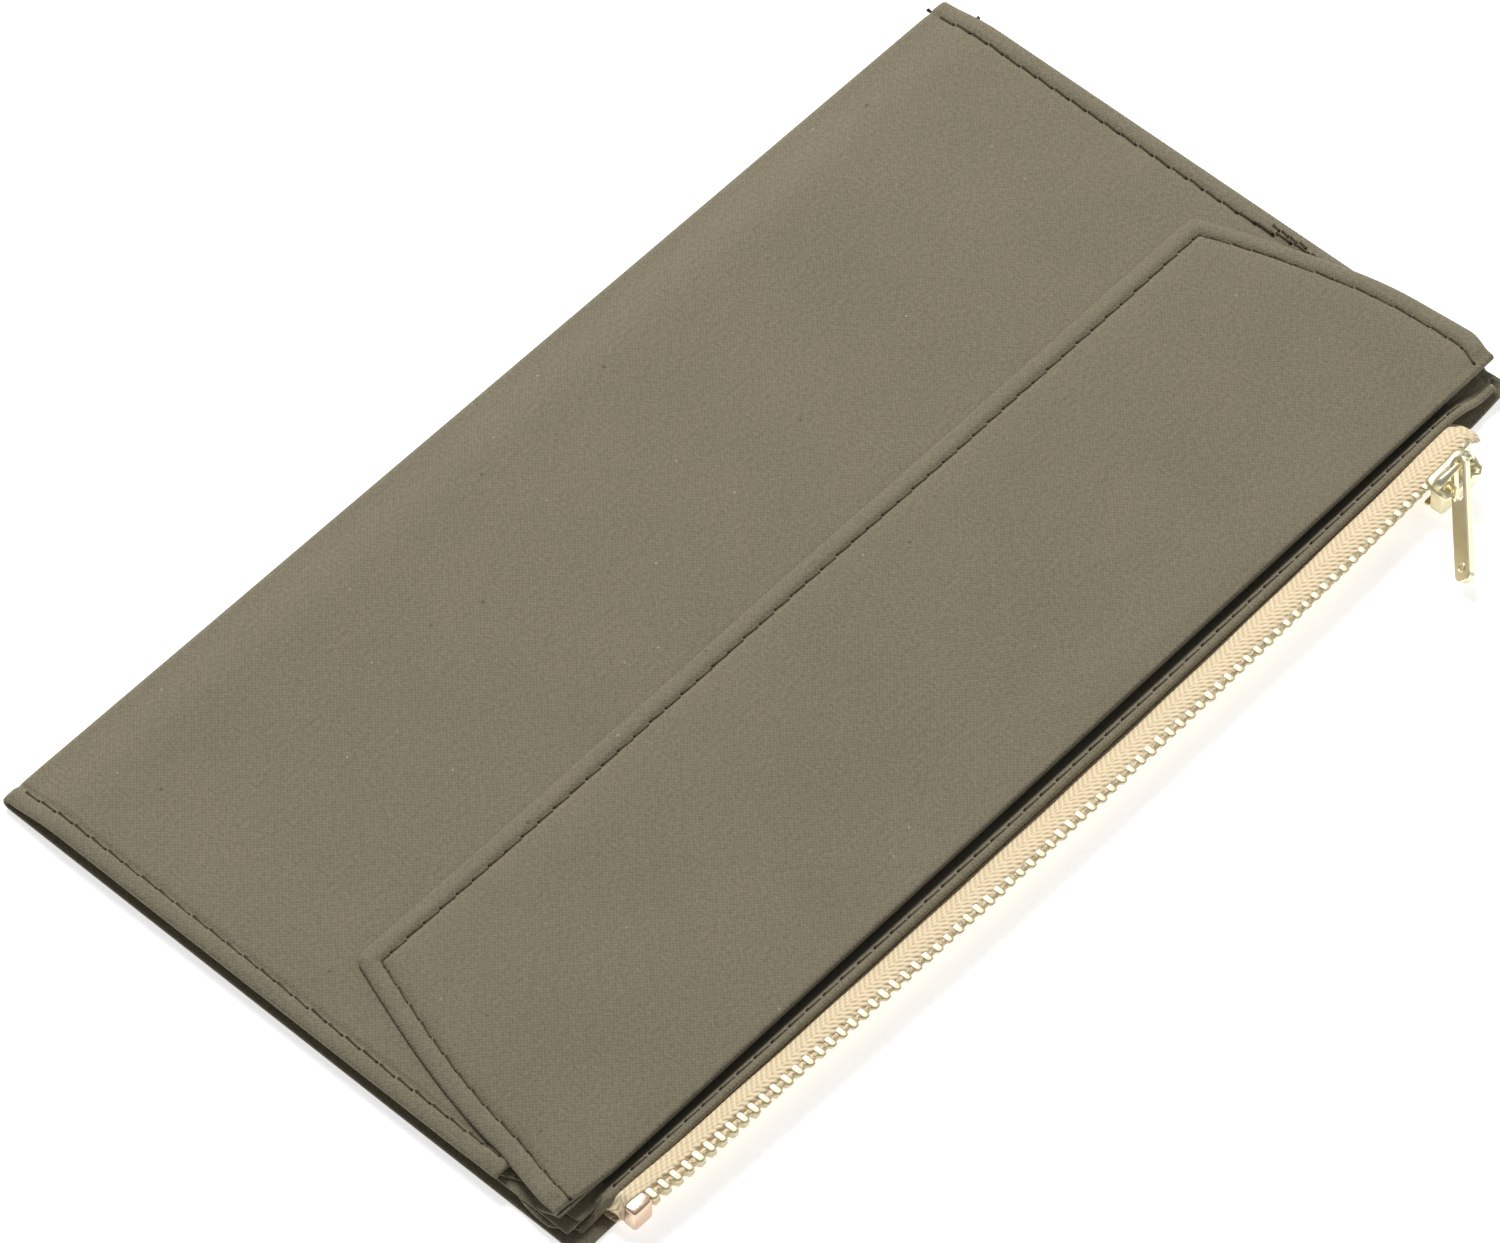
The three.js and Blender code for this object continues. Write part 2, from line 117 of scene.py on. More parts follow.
class Recipe:
    """The node tree of one finish, which starts as a plain Principled shader."""

    def __init__(self, name, roughness, metallic=0.0, sheen=0.0):
        self.material = bpy.data.materials.new(name)
        self.material.use_nodes = True
        self.tree = self.material.node_tree
        self.shader = self.tree.nodes["Principled BSDF"]
        self.shader.inputs["Roughness"].default_value = roughness
        self.shader.inputs["Metallic"].default_value = metallic
        self.shader.inputs["Sheen Weight"].default_value = sheen

    def node(self, kind, settings, sockets, output=0):
        made = self.tree.nodes.new(kind)
        for name, value in settings.items():
            setattr(made, name, value)
        for name, value in sockets.items():
            if isinstance(value, Value):
                self.tree.links.new(value.socket, made.inputs[name])
            else:
                made.inputs[name].default_value = value
        return Value(self, made.outputs[output])

    def feed(self, socket, value):
        self.tree.links.new(value.socket, self.shader.inputs[socket])

    def mix(self, share, first, second):
        """The first colour where share is 0, the second where it is 1."""
        return self.node("ShaderNodeMix", {"data_type": "RGBA"}, {0: share, 6: first, 7: second}, 2)

    def bump(self, height, depth):
        """Normals from a height that runs from 0 to 1 over a depth in millimetres."""
        self.feed("Normal", self.node("ShaderNodeBump", {}, {"Strength": 1.0, "Distance": depth * MM,
                                                              "Height": height}))

    def noise(self, place, scale, detail=2.0):
        return self.node("ShaderNodeTexNoise", {}, {"Vector": place, "Scale": scale, "Detail": detail})

    def object_place(self):
        return self.node("ShaderNodeTexCoord", {}, {}, 3)

    def cloth_place(self, stretch=(1, 1, 1)):
        """Place on the flat cloth: 1 unit is 100 mm along the cloth's own map, times a stretch."""
        flat = self.node("ShaderNodeUVMap", {"uv_map": "cloth"}, {})
        return self.node("ShaderNodeVectorMath", {"operation": "MULTIPLY"}, {0: flat, 1: stretch})

    def across(self, place):
        """The two parts of a place on the cloth, in millimetres."""
        parts = self.node("ShaderNodeSeparateXYZ", {}, {0: place})
        second = Value(self, parts.socket.node.outputs[1])
        return parts * 100, second * 100


def joined(*parts):
    """Points, maps or faces from their separate parts, each stretched to the same grid."""
    return np.stack(np.broadcast_arrays(*parts), axis=-1)


def make_piece(name, points, faces, finish, cloth_map=None, smooth=True):
    """A mesh from points in millimetres and arrays of faces, with an optional map of the flat cloth."""
    mesh = bpy.data.meshes.new(name)
    mesh.from_pydata((np.asarray(points).reshape(-1, 3) * MM).tolist(), [],
                     [face for group in faces for face in np.asarray(group).tolist()])
    if cloth_map is not None:
        corners = np.empty(len(mesh.loops), dtype=np.int32)
        mesh.loops.foreach_get("vertex_index", corners)
        layer = mesh.uv_layers.new(name="cloth")
        layer.data.foreach_set("uv", (np.asarray(cloth_map).reshape(-1, 2)[corners] / 100).ravel())
    mesh.polygons.foreach_set("use_smooth", [smooth] * len(mesh.polygons))
    mesh.materials.append(finish.material)
    piece = bpy.data.objects.new(name, mesh)
    bpy.context.scene.collection.objects.link(piece)
    return piece


def grid_faces(rows, columns, first=0):
    """Four-sided faces of a grid whose points are numbered row by row."""
    index = first + np.arange(rows * columns).reshape(rows, columns)
    return joined(index[:-1, :-1], index[1:, :-1], index[1:, 1:], index[:-1, 1:]).reshape(-1, 4)


white_floor = Recipe("white_floor", 0.9)
grain = white_floor.noise(white_floor.object_place(), 40)
white_floor.feed("Base Color", white_floor.mix(grain, (0.90, 0.90, 0.90, 1), (0.93, 0.93, 0.93, 1)))
white_floor.shader.inputs["Emission Color"].default_value = (1, 1, 1, 1)
white_floor.shader.inputs["Emission Strength"].default_value = 0.6
FLOOR_HALF = 2500
FLOOR_DROP = 0.25
floor_x, floor_y = np.meshgrid([-FLOOR_HALF, 0, FLOOR_HALF], [-FLOOR_HALF, 0, FLOOR_HALF], indexing="ij")
floor = make_piece("floor", joined(floor_x, floor_y, -FLOOR_DROP), [grid_faces(3, 3)], white_floor)

world = bpy.data.worlds.new("room")
world.use_nodes = True
world.node_tree.nodes["Background"].inputs["Color"].default_value = (0.93, 0.96, 1.0, 1)
world.node_tree.nodes["Background"].inputs["Strength"].default_value = 0.27
bpy.context.scene.world = world


def soft_light(name, place, side, power):
    """A square light panel that faces the pouch."""
    lamp = bpy.data.objects.new(name, bpy.data.lights.new(name, "AREA"))
    lamp.data.size = side * MM
    lamp.data.energy = power
    lamp.location = Vector(place) * MM
    lamp.rotation_euler = (-Vector(place)).to_track_quat("-Z", "Y").to_euler()
    bpy.context.scene.collection.objects.link(lamp)


soft_light("main_panel", (380, 720, 1050), 560, 18.0)
soft_light("side_panel", (1000, -750, 450), 520, 1.8)

# ---- outer cloth -------------------------------------------------------------------------------
# One length of fine plain-weave cotton in dusty olive, pressed to a fold along the bottom: its front
# leaf is the pocket's front, its back leaf lies on the floor and runs on to the back of the zip.
CLOTH = 0.4
STITCH_MARGIN = 3.0
STITCH_PITCH = 3.3


def span(node):
    """Lowest and highest corner of a part of the model, in millimetres."""
    low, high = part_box(node)
    return np.array(low) / MM, np.array(high) / MM


front_low, front_high = span("front_panel")
back_low, back_high = span("back_panel")
left_end, right_end = back_low[0], back_high[0]
front_mouth = front_low[1]
bottom_fold = back_high[1]
front_middle = front_high[2] - CLOTH / 2
back_mouth = back_low[1]
back_middle = back_low[2] + CLOTH / 2


def smooth(t):
    """Rises from 0 to 1 as t goes from 0 to 1, level at both ends."""
    t = np.clip(t, 0, 1)
    return t * t * (3 - 2 * t)


def bell(distance, width):
    """1 at no distance, falling off as a normal curve."""
    return np.exp(-(distance / width) ** 2)


def lines(*stretches):
    """Grid lines from (start, end, count) stretches, one after the other, each shared value once."""
    return np.unique(np.round(np.concatenate([np.linspace(*stretch) for stretch in stretches]), 4))


def puff(x, y):
    """The slack in pressed cloth: a sum of three long slow waves, in millimetres."""
    long_wave = 0.24 * np.sin(x / 33 + 1.1) * np.sin(y / 25 + 0.6)
    cross_wave = 0.13 * np.sin(x / 14.5 + y / 21 + 2.0)
    short_wave = 0.05 * np.sin(x / 7.3 - y / 9.1)
    return long_wave + cross_wave + short_wave


def seam_relief(inside, along, margin=STITCH_MARGIN):
    """Height of a sewn edge: a full rim, a groove where the thread pulls in, and faint puckers.
    Inside is the distance from the edge, along the distance along it."""
    rim = 0.3 * np.sin(np.pi * np.clip(inside / margin, 0, 1)) ** 0.7 - 0.12 * bell(inside, 0.35)
    groove = 0.36 * bell(inside - margin, 0.5)
    pucker = 0.05 * np.sin(2 * np.pi * along / 6.6 + 1.2 * np.sin(along / 17)) * bell(inside - margin, 1.8)
    return rim - groove + pucker


def thick_leaf(name, middle, thickness, finish, flat=None):
    """A closed leaf of even thickness about a middle surface, with a rounded rim.
    Top and bottom are the middle moved half the thickness along its normals, and one more loop
    of points stands half the thickness outside the border. Flat is the map of the flat cloth."""
    rows, columns = middle.shape[:2]
    down = np.gradient(middle, axis=0)
    over = np.gradient(middle, axis=1)
    normal = np.cross(down, over)
    normal /= np.maximum(np.linalg.norm(normal, axis=-1, keepdims=True), 1e-9)
    outward = np.zeros_like(middle)
    outward[0] -= down[0] / np.linalg.norm(down[0], axis=-1, keepdims=True)
    outward[-1] += down[-1] / np.linalg.norm(down[-1], axis=-1, keepdims=True)
    outward[:, 0] -= over[:, 0] / np.linalg.norm(over[:, 0], axis=-1, keepdims=True)
    outward[:, -1] += over[:, -1] / np.linalg.norm(over[:, -1], axis=-1, keepdims=True)
    index = np.arange(rows * columns).reshape(rows, columns)
    border = np.concatenate([index[0, :-1], index[:-1, -1], index[-1, :0:-1], index[:0:-1, 0]])
    outward = outward.reshape(-1, 3)[border]
    outward /= np.linalg.norm(outward, axis=-1, keepdims=True)
    rim = middle.reshape(-1, 3)[border] + outward * thickness / 2
    count = rows * columns
    top = middle + normal * thickness / 2
    bottom = middle - normal * thickness / 2
    points = np.concatenate([top.reshape(-1, 3), bottom.reshape(-1, 3), rim])
    loop = 2 * count + np.arange(len(border))
    after = np.roll(np.arange(len(border)), -1)
    faces = [grid_faces(rows, columns), grid_faces(rows, columns, count)[:, ::-1],
             joined(border, border[after], loop[after], loop),
             joined(loop, loop[after], border[after] + count, border + count)]
    if flat is None:
        flat = middle[..., :2]
    flat = flat.reshape(-1, 2)
    return make_piece(name, points, faces, finish, np.concatenate([flat, flat, flat[border]]))


def cloth_lengths(middle):
    """The map of a leaf that only bends one way: X, and the length walked along each column."""
    step = np.linalg.norm(np.diff(middle, axis=0), axis=-1)
    walked = np.concatenate([np.zeros((1, middle.shape[1])), np.cumsum(step, axis=0)])
    return joined(middle[..., 0], walked)


def woven_finish(name, colour, yarn, depth, speckle=0.0):
    """Plain weave: yarns go over and under each other as the product of two half-wave sines, with
    thick and thin places in each yarn, slow changes of shade, and a few specks of lint."""
    recipe = Recipe(name, 0.86, sheen=0.12)
    place = recipe.cloth_place()
    along, across = recipe.across(place)
    turn = np.pi / yarn
    over_under = (along * turn).sine() * (across * turn).sine()
    ribs = (along * (2 * turn)).sine() + (across * (2 * turn)).sine()
    weave = over_under * 0.3 + ribs * 0.1 + 0.5
    warp = recipe.noise(recipe.cloth_place((260, 26, 1)), 1.0)
    weft = recipe.noise(recipe.cloth_place((26, 260, 1)), 1.0)
    slubs = warp + weft - 1.0
    grain = recipe.noise(recipe.cloth_place((210, 150, 1)), 1.0) - 0.5
    cloud = recipe.noise(place, 5.0, 5.0) - 0.5
    tone = (weave * 0.9 + slubs * 0.4 + grain * 1.9 + cloud * 0.45 + 0.05).clamped()
    dark = tuple(0.74 * part for part in colour) + (1,)
    light = tuple(1.27 * part for part in colour) + (1,)
    shade = recipe.mix(tone, dark, light)
    if speckle:
        cells = {"Vector": place, "Scale": 17.0, "Randomness": 1.0}
        lint = recipe.node("ShaderNodeTexVoronoi", {}, cells) < speckle
        shade = recipe.mix(lint * 0.3, shade, (0.62, 0.58, 0.46, 1))
        knots = recipe.node("ShaderNodeTexVoronoi", {}, {"Vector": place, "Scale": 11.0}) < speckle
        shade = recipe.mix(knots * 0.55, shade, (0.06, 0.05, 0.03, 1))
    recipe.feed("Base Color", shade)
    recipe.feed("Roughness", 0.8 + 0.14 * tone)
    recipe.bump(weave + slubs * 0.3 + grain, depth)
    return recipe


OLIVE = (0.192, 0.165, 0.105)
olive_cloth = woven_finish("olive_cloth", OLIVE, 0.34, 0.05, speckle=0.035)


def side_inside(x):
    """Distance inside the nearer end of the pouch."""
    return np.minimum(x - left_end, right_end - x)


def front_base(x, y):
    """Middle of the front leaf without its seams: level, with slack, thinner towards the bottom fold."""
    wedge = 1.5 * smooth((y - bottom_fold + 12) / 11.5) ** 1.4
    slack = puff(x, y) * smooth(side_inside(x) / 14) * smooth((bottom_fold - y) / 14)
    return front_middle - wedge - 0.1 * (1 - smooth(side_inside(x) / 9)) + slack


def front_height(x, y):
    """Middle of the front leaf, with its sewn ends and the hem along its mouth."""
    hem = 0.12 * (1 - smooth((y - front_mouth - 5) / 0.6))
    return (front_base(x, y) + hem + seam_relief(side_inside(x), y)
            + seam_relief(y - front_mouth, x, 4.5) * smooth(side_inside(x) / 3))


SIDE_LINES = lines((left_end, left_end + 6, 16), (left_end + 6, right_end - 6, 84),
                   (right_end - 6, right_end, 16))
NOSE = 1.0
nose_y = bottom_fold - CLOTH / 2 - NOSE
DOWN_LINES = lines((front_mouth, front_mouth + 7, 18), (front_mouth + 7, nose_y - 4, 50),
                   (nose_y - 4, nose_y, 6))
front_x, front_y = np.meshgrid(SIDE_LINES, DOWN_LINES)
front_leaf = joined(front_x, front_y, front_height(front_x, front_y))
nose_turn = np.linspace(0, np.pi, 9)[1:-1, None]
nose_top = front_height(SIDE_LINES, np.full(SIDE_LINES.shape, nose_y))
nose_z = (nose_top + back_middle) / 2 + (nose_top - back_middle) / 2 * np.cos(nose_turn)
nose_leaf = joined(SIDE_LINES, nose_y + NOSE * np.sin(nose_turn), nose_z)
back_x, back_y = np.meshgrid(SIDE_LINES, np.linspace(nose_y, back_mouth, 34))
corner_lift = 1.3 * smooth((back_x - 90) / 10) * smooth((-47 - back_y) / 9)
back_leaf = joined(back_x, back_y, back_middle + corner_lift)
outer_middle = np.concatenate([front_leaf, nose_leaf, back_leaf])
outer_flat = cloth_lengths(outer_middle)
outer_cloth = thick_leaf("outer_cloth", outer_middle, CLOTH, olive_cloth, outer_flat)
outer_cloth.data.flip_normals()
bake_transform(outer_cloth)
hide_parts("front_panel", "back_panel")

# ---- seams of the front ------------------------------------------------------------------------
# Dark olive polyester thread in 3.3 mm lockstitch, about 3 mm inside each end and below the mouth's
# hem. It lies in its own groove. Its dark colour is painted shade of that groove, and it turns near black
# where it dives into the cloth, which is painted shade of the holes.
shaken = np.random.default_rng(7)
dark_thread = Recipe("dark_thread", 0.95, sheen=0.05)
ply = dark_thread.noise(dark_thread.object_place(), 2600).clamped()
sunk = dark_thread.across(dark_thread.cloth_place())[1]
# Painted shade: the thread's colour is darkened as if it lay in its groove's shadow.
groove_shaded_thread = dark_thread.mix(ply, (0.050, 0.037, 0.016, 1), (0.095, 0.074, 0.034, 1))
# Painted shade of the holes: the thread's ends go near black where it dives into the cloth.
painted_hole_shade = (0.014, 0.011, 0.006, 1)
dark_thread.feed("Base Color", dark_thread.mix((sunk * 3.0 - 1.9).clamped(), groove_shaded_thread, painted_hole_shade))
dark_thread.bump(ply, 0.04)


def tube_faces(copies, rings, around):
    """Faces of many like tubes, each closed at both ends; points are numbered copy, ring, place round."""
    index = np.arange(copies * rings * around).reshape(copies, rings, around)
    after = np.roll(index, -1, axis=2)
    walls = joined(index[:, :-1], after[:, :-1], after[:, 1:], index[:, 1:]).reshape(-1, 4)
    return [walls, index[:, 0, ::-1], index[:, -1]]


def stitch_row(name, line, pitch=STITCH_PITCH, length=3.2, radius=0.2, up=(0, 0, 1)):
    """Stitches along a line on the cloth: each is a thread that rises out of one hole, lies over the
    cloth and dives into the next, thin at both ends, with a slight slant and uneven length."""
    line = np.asarray(line, float)
    walked = np.concatenate([[0], np.cumsum(np.linalg.norm(np.diff(line, axis=0), axis=1))])
    count = int(walked[-1] // pitch)
    centre = (walked[-1] - count * pitch) / 2 + pitch * (np.arange(count) + 0.5)
    t = np.linspace(-0.5, 0.5, 9)
    place = centre[:, None] + t * length * (1 + 0.03 * shaken.standard_normal((count, 1)))

    def on_line(where):
        return joined(*(np.interp(where, walked, column) for column in line.T))

    middle = on_line(place)
    ahead = on_line(place + 0.1) - on_line(place - 0.1)
    ahead /= np.maximum(np.linalg.norm(ahead, axis=-1, keepdims=True), 1e-9)
    up = np.asarray(up, float) / np.linalg.norm(up)
    side = np.cross(ahead, up)
    side /= np.linalg.norm(side, axis=-1, keepdims=True)
    arch = np.cos(np.pi * t)
    slant = 0.3 * t + 0.05 * shaken.standard_normal((count, 1))
    middle = middle + up * (0.13 * arch - 0.06)[:, None] + side * slant[..., None]
    turn = np.arange(6) * np.pi / 3
    thick = radius * (1 + 0.75 * bell(np.abs(t) - 0.42, 0.1) - 0.35 * bell(np.abs(t) - 0.5, 0.03))
    ring = np.cos(turn)[:, None] * side[:, :, None, :] + np.sin(turn)[:, None] * up
    dive_map = joined(place[:, :, None], np.abs(2 * t)[:, None] + 0 * turn)
    return make_piece(name, middle[:, :, None, :] + thick[None, :, None, None] * ring,
                      tube_faces(count, 9, 6), dark_thread, dive_map)


def on_front(x, y):
    """Points on the top of the front leaf."""
    return joined(x, y, front_height(x, y) + CLOTH / 2)


def fix(piece, body, node=None):
    """Says which body a piece rides on, and the part of the model it stands for."""
    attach(piece, body)
    if node:
        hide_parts(node)


side_run = np.linspace(nose_y - 0.6, front_mouth + 1.2, 200)
left_wander = 0.12 * np.sin(side_run / 11)
right_wander = 0.9 * smooth((side_run + 24) / 20) - 0.9
left_stitches = stitch_row("left_side_stitches", on_front(left_end + 2.6 + left_wander, side_run))
right_stitches = stitch_row("right_side_stitches", on_front(right_end - 2.9 - right_wander, side_run))
hem_run = np.linspace(left_end + 4, right_end - 4, 300)
hem_stitches = stitch_row("hem_stitches", on_front(hem_run, front_mouth + 4.5))
tack_run = np.linspace(-13, -20, 30)
tack_stitches = stitch_row("back_tack_stitches", on_front(right_end - 1.6, tack_run), pitch=1.7, length=1.6)
fix(left_stitches, "front", "thread_side_left")
fix(right_stitches, "front", "thread_side_right")
fix(hem_stitches, "front")
fix(tack_stitches, "front")

# ---- thread ends -------------------------------------------------------------------------------
# Two trimmed tufts of thread stand out of the seam at the right-hand end of the bottom fold.


def thread_end(name, points, radius=0.22):
    """A short thread along a few points, round, and frayed thicker at its cut end."""
    points = np.asarray(points, float)
    walk = np.linspace(0, len(points) - 1, 9)
    middle = joined(*(np.interp(walk, np.arange(len(points)), column) for column in points.T))
    ahead = np.gradient(middle, axis=0)
    side = np.cross(ahead, (0.3, 0.2, 1.0))
    side /= np.linalg.norm(side, axis=-1, keepdims=True)
    up = np.cross(side, ahead)
    up /= np.linalg.norm(up, axis=-1, keepdims=True)
    turn = np.arange(6) * np.pi / 3
    thick = radius * np.linspace(0.8, 1.5, 9)[:, None, None]
    ring = np.cos(turn)[:, None] * side[:, None, :] + np.sin(turn)[:, None] * up[:, None, :]
    cut_map = np.broadcast_to((0.0, 0.5), (9, 6, 2))
    return make_piece(name, middle[:, None, :] + thick * ring, tube_faces(1, 9, 6), dark_thread, cut_map)


fold_tuft_line = [(97.6, 52.9, 1.2), (97.5, 53.5, 1.3), (97.3, 53.9, 1.5), (97.4, 54.1, 1.7)]
side_tuft_line = [(99.5, 46.4, 2.5), (99.9, 46.3, 2.7), (100.2, 46.5, 2.9), (100.4, 46.4, 3.1)]
fix(thread_end("fold_tuft", fold_tuft_line), "pouch")
fix(thread_end("side_tuft", side_tuft_line), "pouch")

# ---- linings -----------------------------------------------------------------------------------
# Thin cotton leaves inside both pockets, a shade darker than the outer cloth.
LINING = 0.3
BOTH_PANELS = 0.62
lining_cloth = woven_finish("lining_cloth", (0.160, 0.138, 0.088), 0.42, 0.05)


def squeezed(x, y, z):
    """Height of a point inside the pockets: its share of the room under the front stays the same,
    so every layer thins towards the bottom fold and the ends as the front does."""
    room = front_base(x, np.maximum(y, front_mouth + 4)) - BOTH_PANELS
    nearer = 0.35 * (1 - smooth(side_inside(x) / 5)) * smooth((y - front_mouth) / 6)
    return CLOTH + (z - CLOTH) * (room - nearer) / (front_middle - BOTH_PANELS)


def inner_leaf(name, node, body):
    """A lining in the plan of its own part of the model, stopping short of the sewn ends."""
    low, high = span(node)
    ends = np.array([max(low[0], left_end + 2.2), min(high[0], right_end - 2.2)])
    x, y = np.meshgrid(np.linspace(*ends, 90), np.linspace(max(low[1], -54.0), high[1], 50))
    z = squeezed(x, y, (low[2] + high[2]) / 2)
    leaf = thick_leaf(name, joined(x, y, z)[::-1], LINING, lining_cloth)
    fix(leaf, body, node)


inner_leaf("zip_pocket_back_lining", "back_lining", "pouch")
inner_leaf("zip_pocket_front_lining", "divider_lining", "pouch")
inner_leaf("main_pocket_back_lining", "pocket_lining", "pouch")
inner_leaf("main_pocket_front_lining", "front_lining", "front")

# ---- divider -----------------------------------------------------------------------------------
# The wall between the pockets. Past the flap's fold its edge is turned under, rises on to the zip
# tape and is sewn down, so a narrow olive strip shows between the flap and the tape.
divider_low, divider_high = span("divider")
mouth_y = divider_low[1] + 1.2
mouth_z = divider_high[2] - CLOTH
divider_z = divider_low[2] + CLOTH / 2
divider_bottom = divider_high[1]
strip_start = -49.5
BOW = 1.5
SEAM_AT = 0.88


def chain_bow(x):
    """How far the zip bows out at its middle: a parabola that is nothing at both ends, which turn in."""
    turned_in = 1.1 * smooth((-80 - x) / 15) + 0.5 * smooth((x - 74) / 14)
    return -BOW * np.clip(1 - (x / 80) ** 2, 0, None) + turned_in


def mouth_edge(x):
    """Y and Z of the strip's edge: it follows the bow a little, drops at the right end, and goes down
    to the floor at the left."""
    left_drop = smooth((-92.5 - x) / 6)
    right_drop = smooth((x - 89) / 9)
    y = mouth_y + 0.3 * np.minimum(chain_bow(x), 0.4) + 1.05 * left_drop
    z = mouth_z - (mouth_z - 1.0) * left_drop - (mouth_z - 2.6) * right_drop
    return y, z


def strip_rise(rise):
    """The strip's climb, a smooth step of the square: it lies low at first, then climbs to its edge."""
    return smooth(rise ** 2)


def strip_middle(x, t):
    """The divider beyond the flap's fold: t runs 0 at the flat wall to 1 at the edge, then to 2 along
    the hem turned under it. The rise is a smooth step, the turn a half circle."""
    edge_y, edge_z = mouth_edge(x)
    rise = np.clip(t, 0, 1)
    y = strip_start + (edge_y - strip_start) * rise
    z = divider_z + (edge_z - divider_z) * strip_rise(rise)
    hem = 0.15 * np.sin(np.pi * np.clip((rise - SEAM_AT) / (1 - SEAM_AT), 0, 1))
    hem = hem - 0.2 * bell(rise - SEAM_AT, 0.04)
    under = np.clip(t - 1, 0, 1)
    turn = np.clip(under / 0.3, 0, 1) * np.pi
    back = np.clip((under - 0.3) / 0.7, 0, 1)
    y = y - 0.25 * np.sin(turn) + 1.9 * back
    z = z + hem - 0.25 * (1 - np.cos(turn)) - 1.25 * back * np.clip((edge_z - 1.5) / 3.4, 0, 1)
    drawn_in = (2.6 * smooth((-80 - x) / 20) - 2.5 * smooth((x - 80) / 20)) * smooth((rise - 0.35) / 0.65)
    return joined(x + drawn_in, y, z)


strip_x, wall_y = np.meshgrid(SIDE_LINES, np.linspace(divider_bottom, strip_start, 40, endpoint=False))
flat_share = smooth((wall_y - strip_start) / 10)
wall_z = squeezed(strip_x, wall_y, divider_z) * flat_share + divider_z * (1 - flat_share)
recess = 1.3 * np.sign(strip_x) * smooth((6 - side_inside(strip_x)) / 6) * smooth((wall_y + 49) / 6)
wall = joined(strip_x - recess, wall_y, wall_z)
strip_x, strip_t = np.meshgrid(SIDE_LINES, lines((0, 1, 26), (1, 1.3, 7), (1.3, 2, 6)))
divider_middle = np.concatenate([wall, strip_middle(strip_x, strip_t)])
divider_flat = cloth_lengths(divider_middle)
divider_cloth = thick_leaf("divider_cloth", divider_middle, CLOTH, olive_cloth, divider_flat)
divider_cloth.data.flip_normals()
fix(divider_cloth, "pouch", "divider")

zip_run = np.linspace(-93, 93, 260)
zip_line = strip_middle(zip_run, np.full(zip_run.shape, SEAM_AT)) + (0, 0.12, 0.22)
zip_stitches = stitch_row("zip_stitches", zip_line, pitch=3.5, length=3.0, up=(0, 0.45, 0.89))
fix(zip_stitches, "pouch", "thread_zip")

# ---- side gussets ------------------------------------------------------------------------------
# A strip of the olive cloth at each end of the main pocket, folded inwards so that the mouth can open.
# Beyond the front's mouth its folded edges lie side by side, down to the flap's fold.
gusset_low, gusset_high = span("gusset_right")


def gusset_middle(side):
    """A fold lying on its side: the lower leaf runs in, turns a half circle and comes back above.
    Towards the flap's fold the upper leaf comes down and its edge draws in."""
    y = lines((divider_bottom - 1, -36, 40), (-36, -54.6, 26))[::-1][:, None]
    past = smooth((front_mouth + 3 - y) / 9)
    gap = (gusset_high[2] - gusset_low[2] - LINING) * (1 - 0.55 * past)
    low_z = gusset_low[2] + LINING / 2 + 0.05 * np.sin(y / 3)
    outer = right_end - 0.6
    inner = gusset_low[0] + 1
    lower_x = outer + (inner - outer) * np.linspace(0, 1, 12) + 0 * y
    turn = np.linspace(0, np.pi, 7)[1:-1]
    fold_x = inner - gap / 2 * np.sin(turn)
    fold_z = low_z + gap / 2 * (1 - np.cos(turn))
    reach = outer - 0.2 - 2.1 * past + 0.25 * np.sin(y / 2.2) * past
    upper_x = inner + (reach - inner) * np.linspace(0, 1, 12)
    upper_z = low_z + gap + 0 * upper_x + 0.35 * past * np.linspace(0, 1, 12) ** 4
    x = np.concatenate([lower_x, fold_x, upper_x], axis=1)
    z = np.concatenate([low_z + 0 * lower_x, fold_z, upper_z], axis=1)
    return joined(side * x, y, squeezed(side * x, y, z))


for gusset_name, gusset_side in (("gusset_left", -1), ("gusset_right", 1)):
    fold_middle = gusset_middle(gusset_side)
    fold_flat = joined(np.linspace(0, 20, fold_middle.shape[1]), fold_middle[..., 1])
    gusset = thick_leaf(gusset_name + "_cloth", fold_middle, LINING, olive_cloth, fold_flat)
    if gusset_side < 0:
        gusset.data.flip_normals()
    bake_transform(gusset)
    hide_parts(gusset_name)

# ---- flap --------------------------------------------------------------------------------------
# Outer cloth with its edges turned in, a stiffener and a lining, sewn 3 mm inside the free edges. Its
# ends curve in towards the free edge. The cloth turns round the fold and goes down to the divider.


def joint_place(name):
    """Where a joint of the model turns, in millimetres."""
    joint = next(one for one in frame["joints"] if one["name"] == name)
    return np.array(joint["pos_m"]) / MM


flap_high = span("flap_outer")[1]
fold_pos = joint_place("flap_fold")
flap_tip = flap_high[1] + 0.2
flap_level = flap_high[2] - CLOTH / 2
FOLD_RADIUS = flap_level - fold_pos[2]


def flap_ends(y):
    """X of the flap's two ends at each y: a quarter sine from the free edge out to the fold."""
    t = np.clip((flap_tip - y) / (flap_tip - fold_pos[1]), 0, 1)
    left = -87.4 - 10.0 * np.sin(np.clip(1.1 * t, 0, 1) * np.pi / 2) - 2.0 * smooth((t - 0.72) / 0.28)
    right = 91.2 + 10.3 * np.sin(np.clip(1.2 * t, 0, 1) * np.pi / 2) - 1.2 * smooth((t - 0.9) / 0.1)
    return left, right


def flap_plan(inset, across, rows):
    """The flap's plan as a grid: columns keep their distance from the nearer end. Over the last 1.2 mm
    before the free edge the corners draw in by a square curve."""
    y = rows[:, None]
    left, right = flap_ends(y)
    left, right = left + inset, right - inset
    half = len(across) // 2
    from_left, from_right = across[:half], across[half + 1:]
    draw_in = 0.8 * ((y - (flap_tip - inset - 1.2)).clip(0, None) / 1.2) ** 2
    left_side = left + from_left + draw_in * bell(from_left, 3)
    right_side = right - from_right - draw_in * bell(from_right, 3)
    x = np.concatenate([left_side, (left + right) / 2, right_side], axis=1)
    return x, y + 0 * x


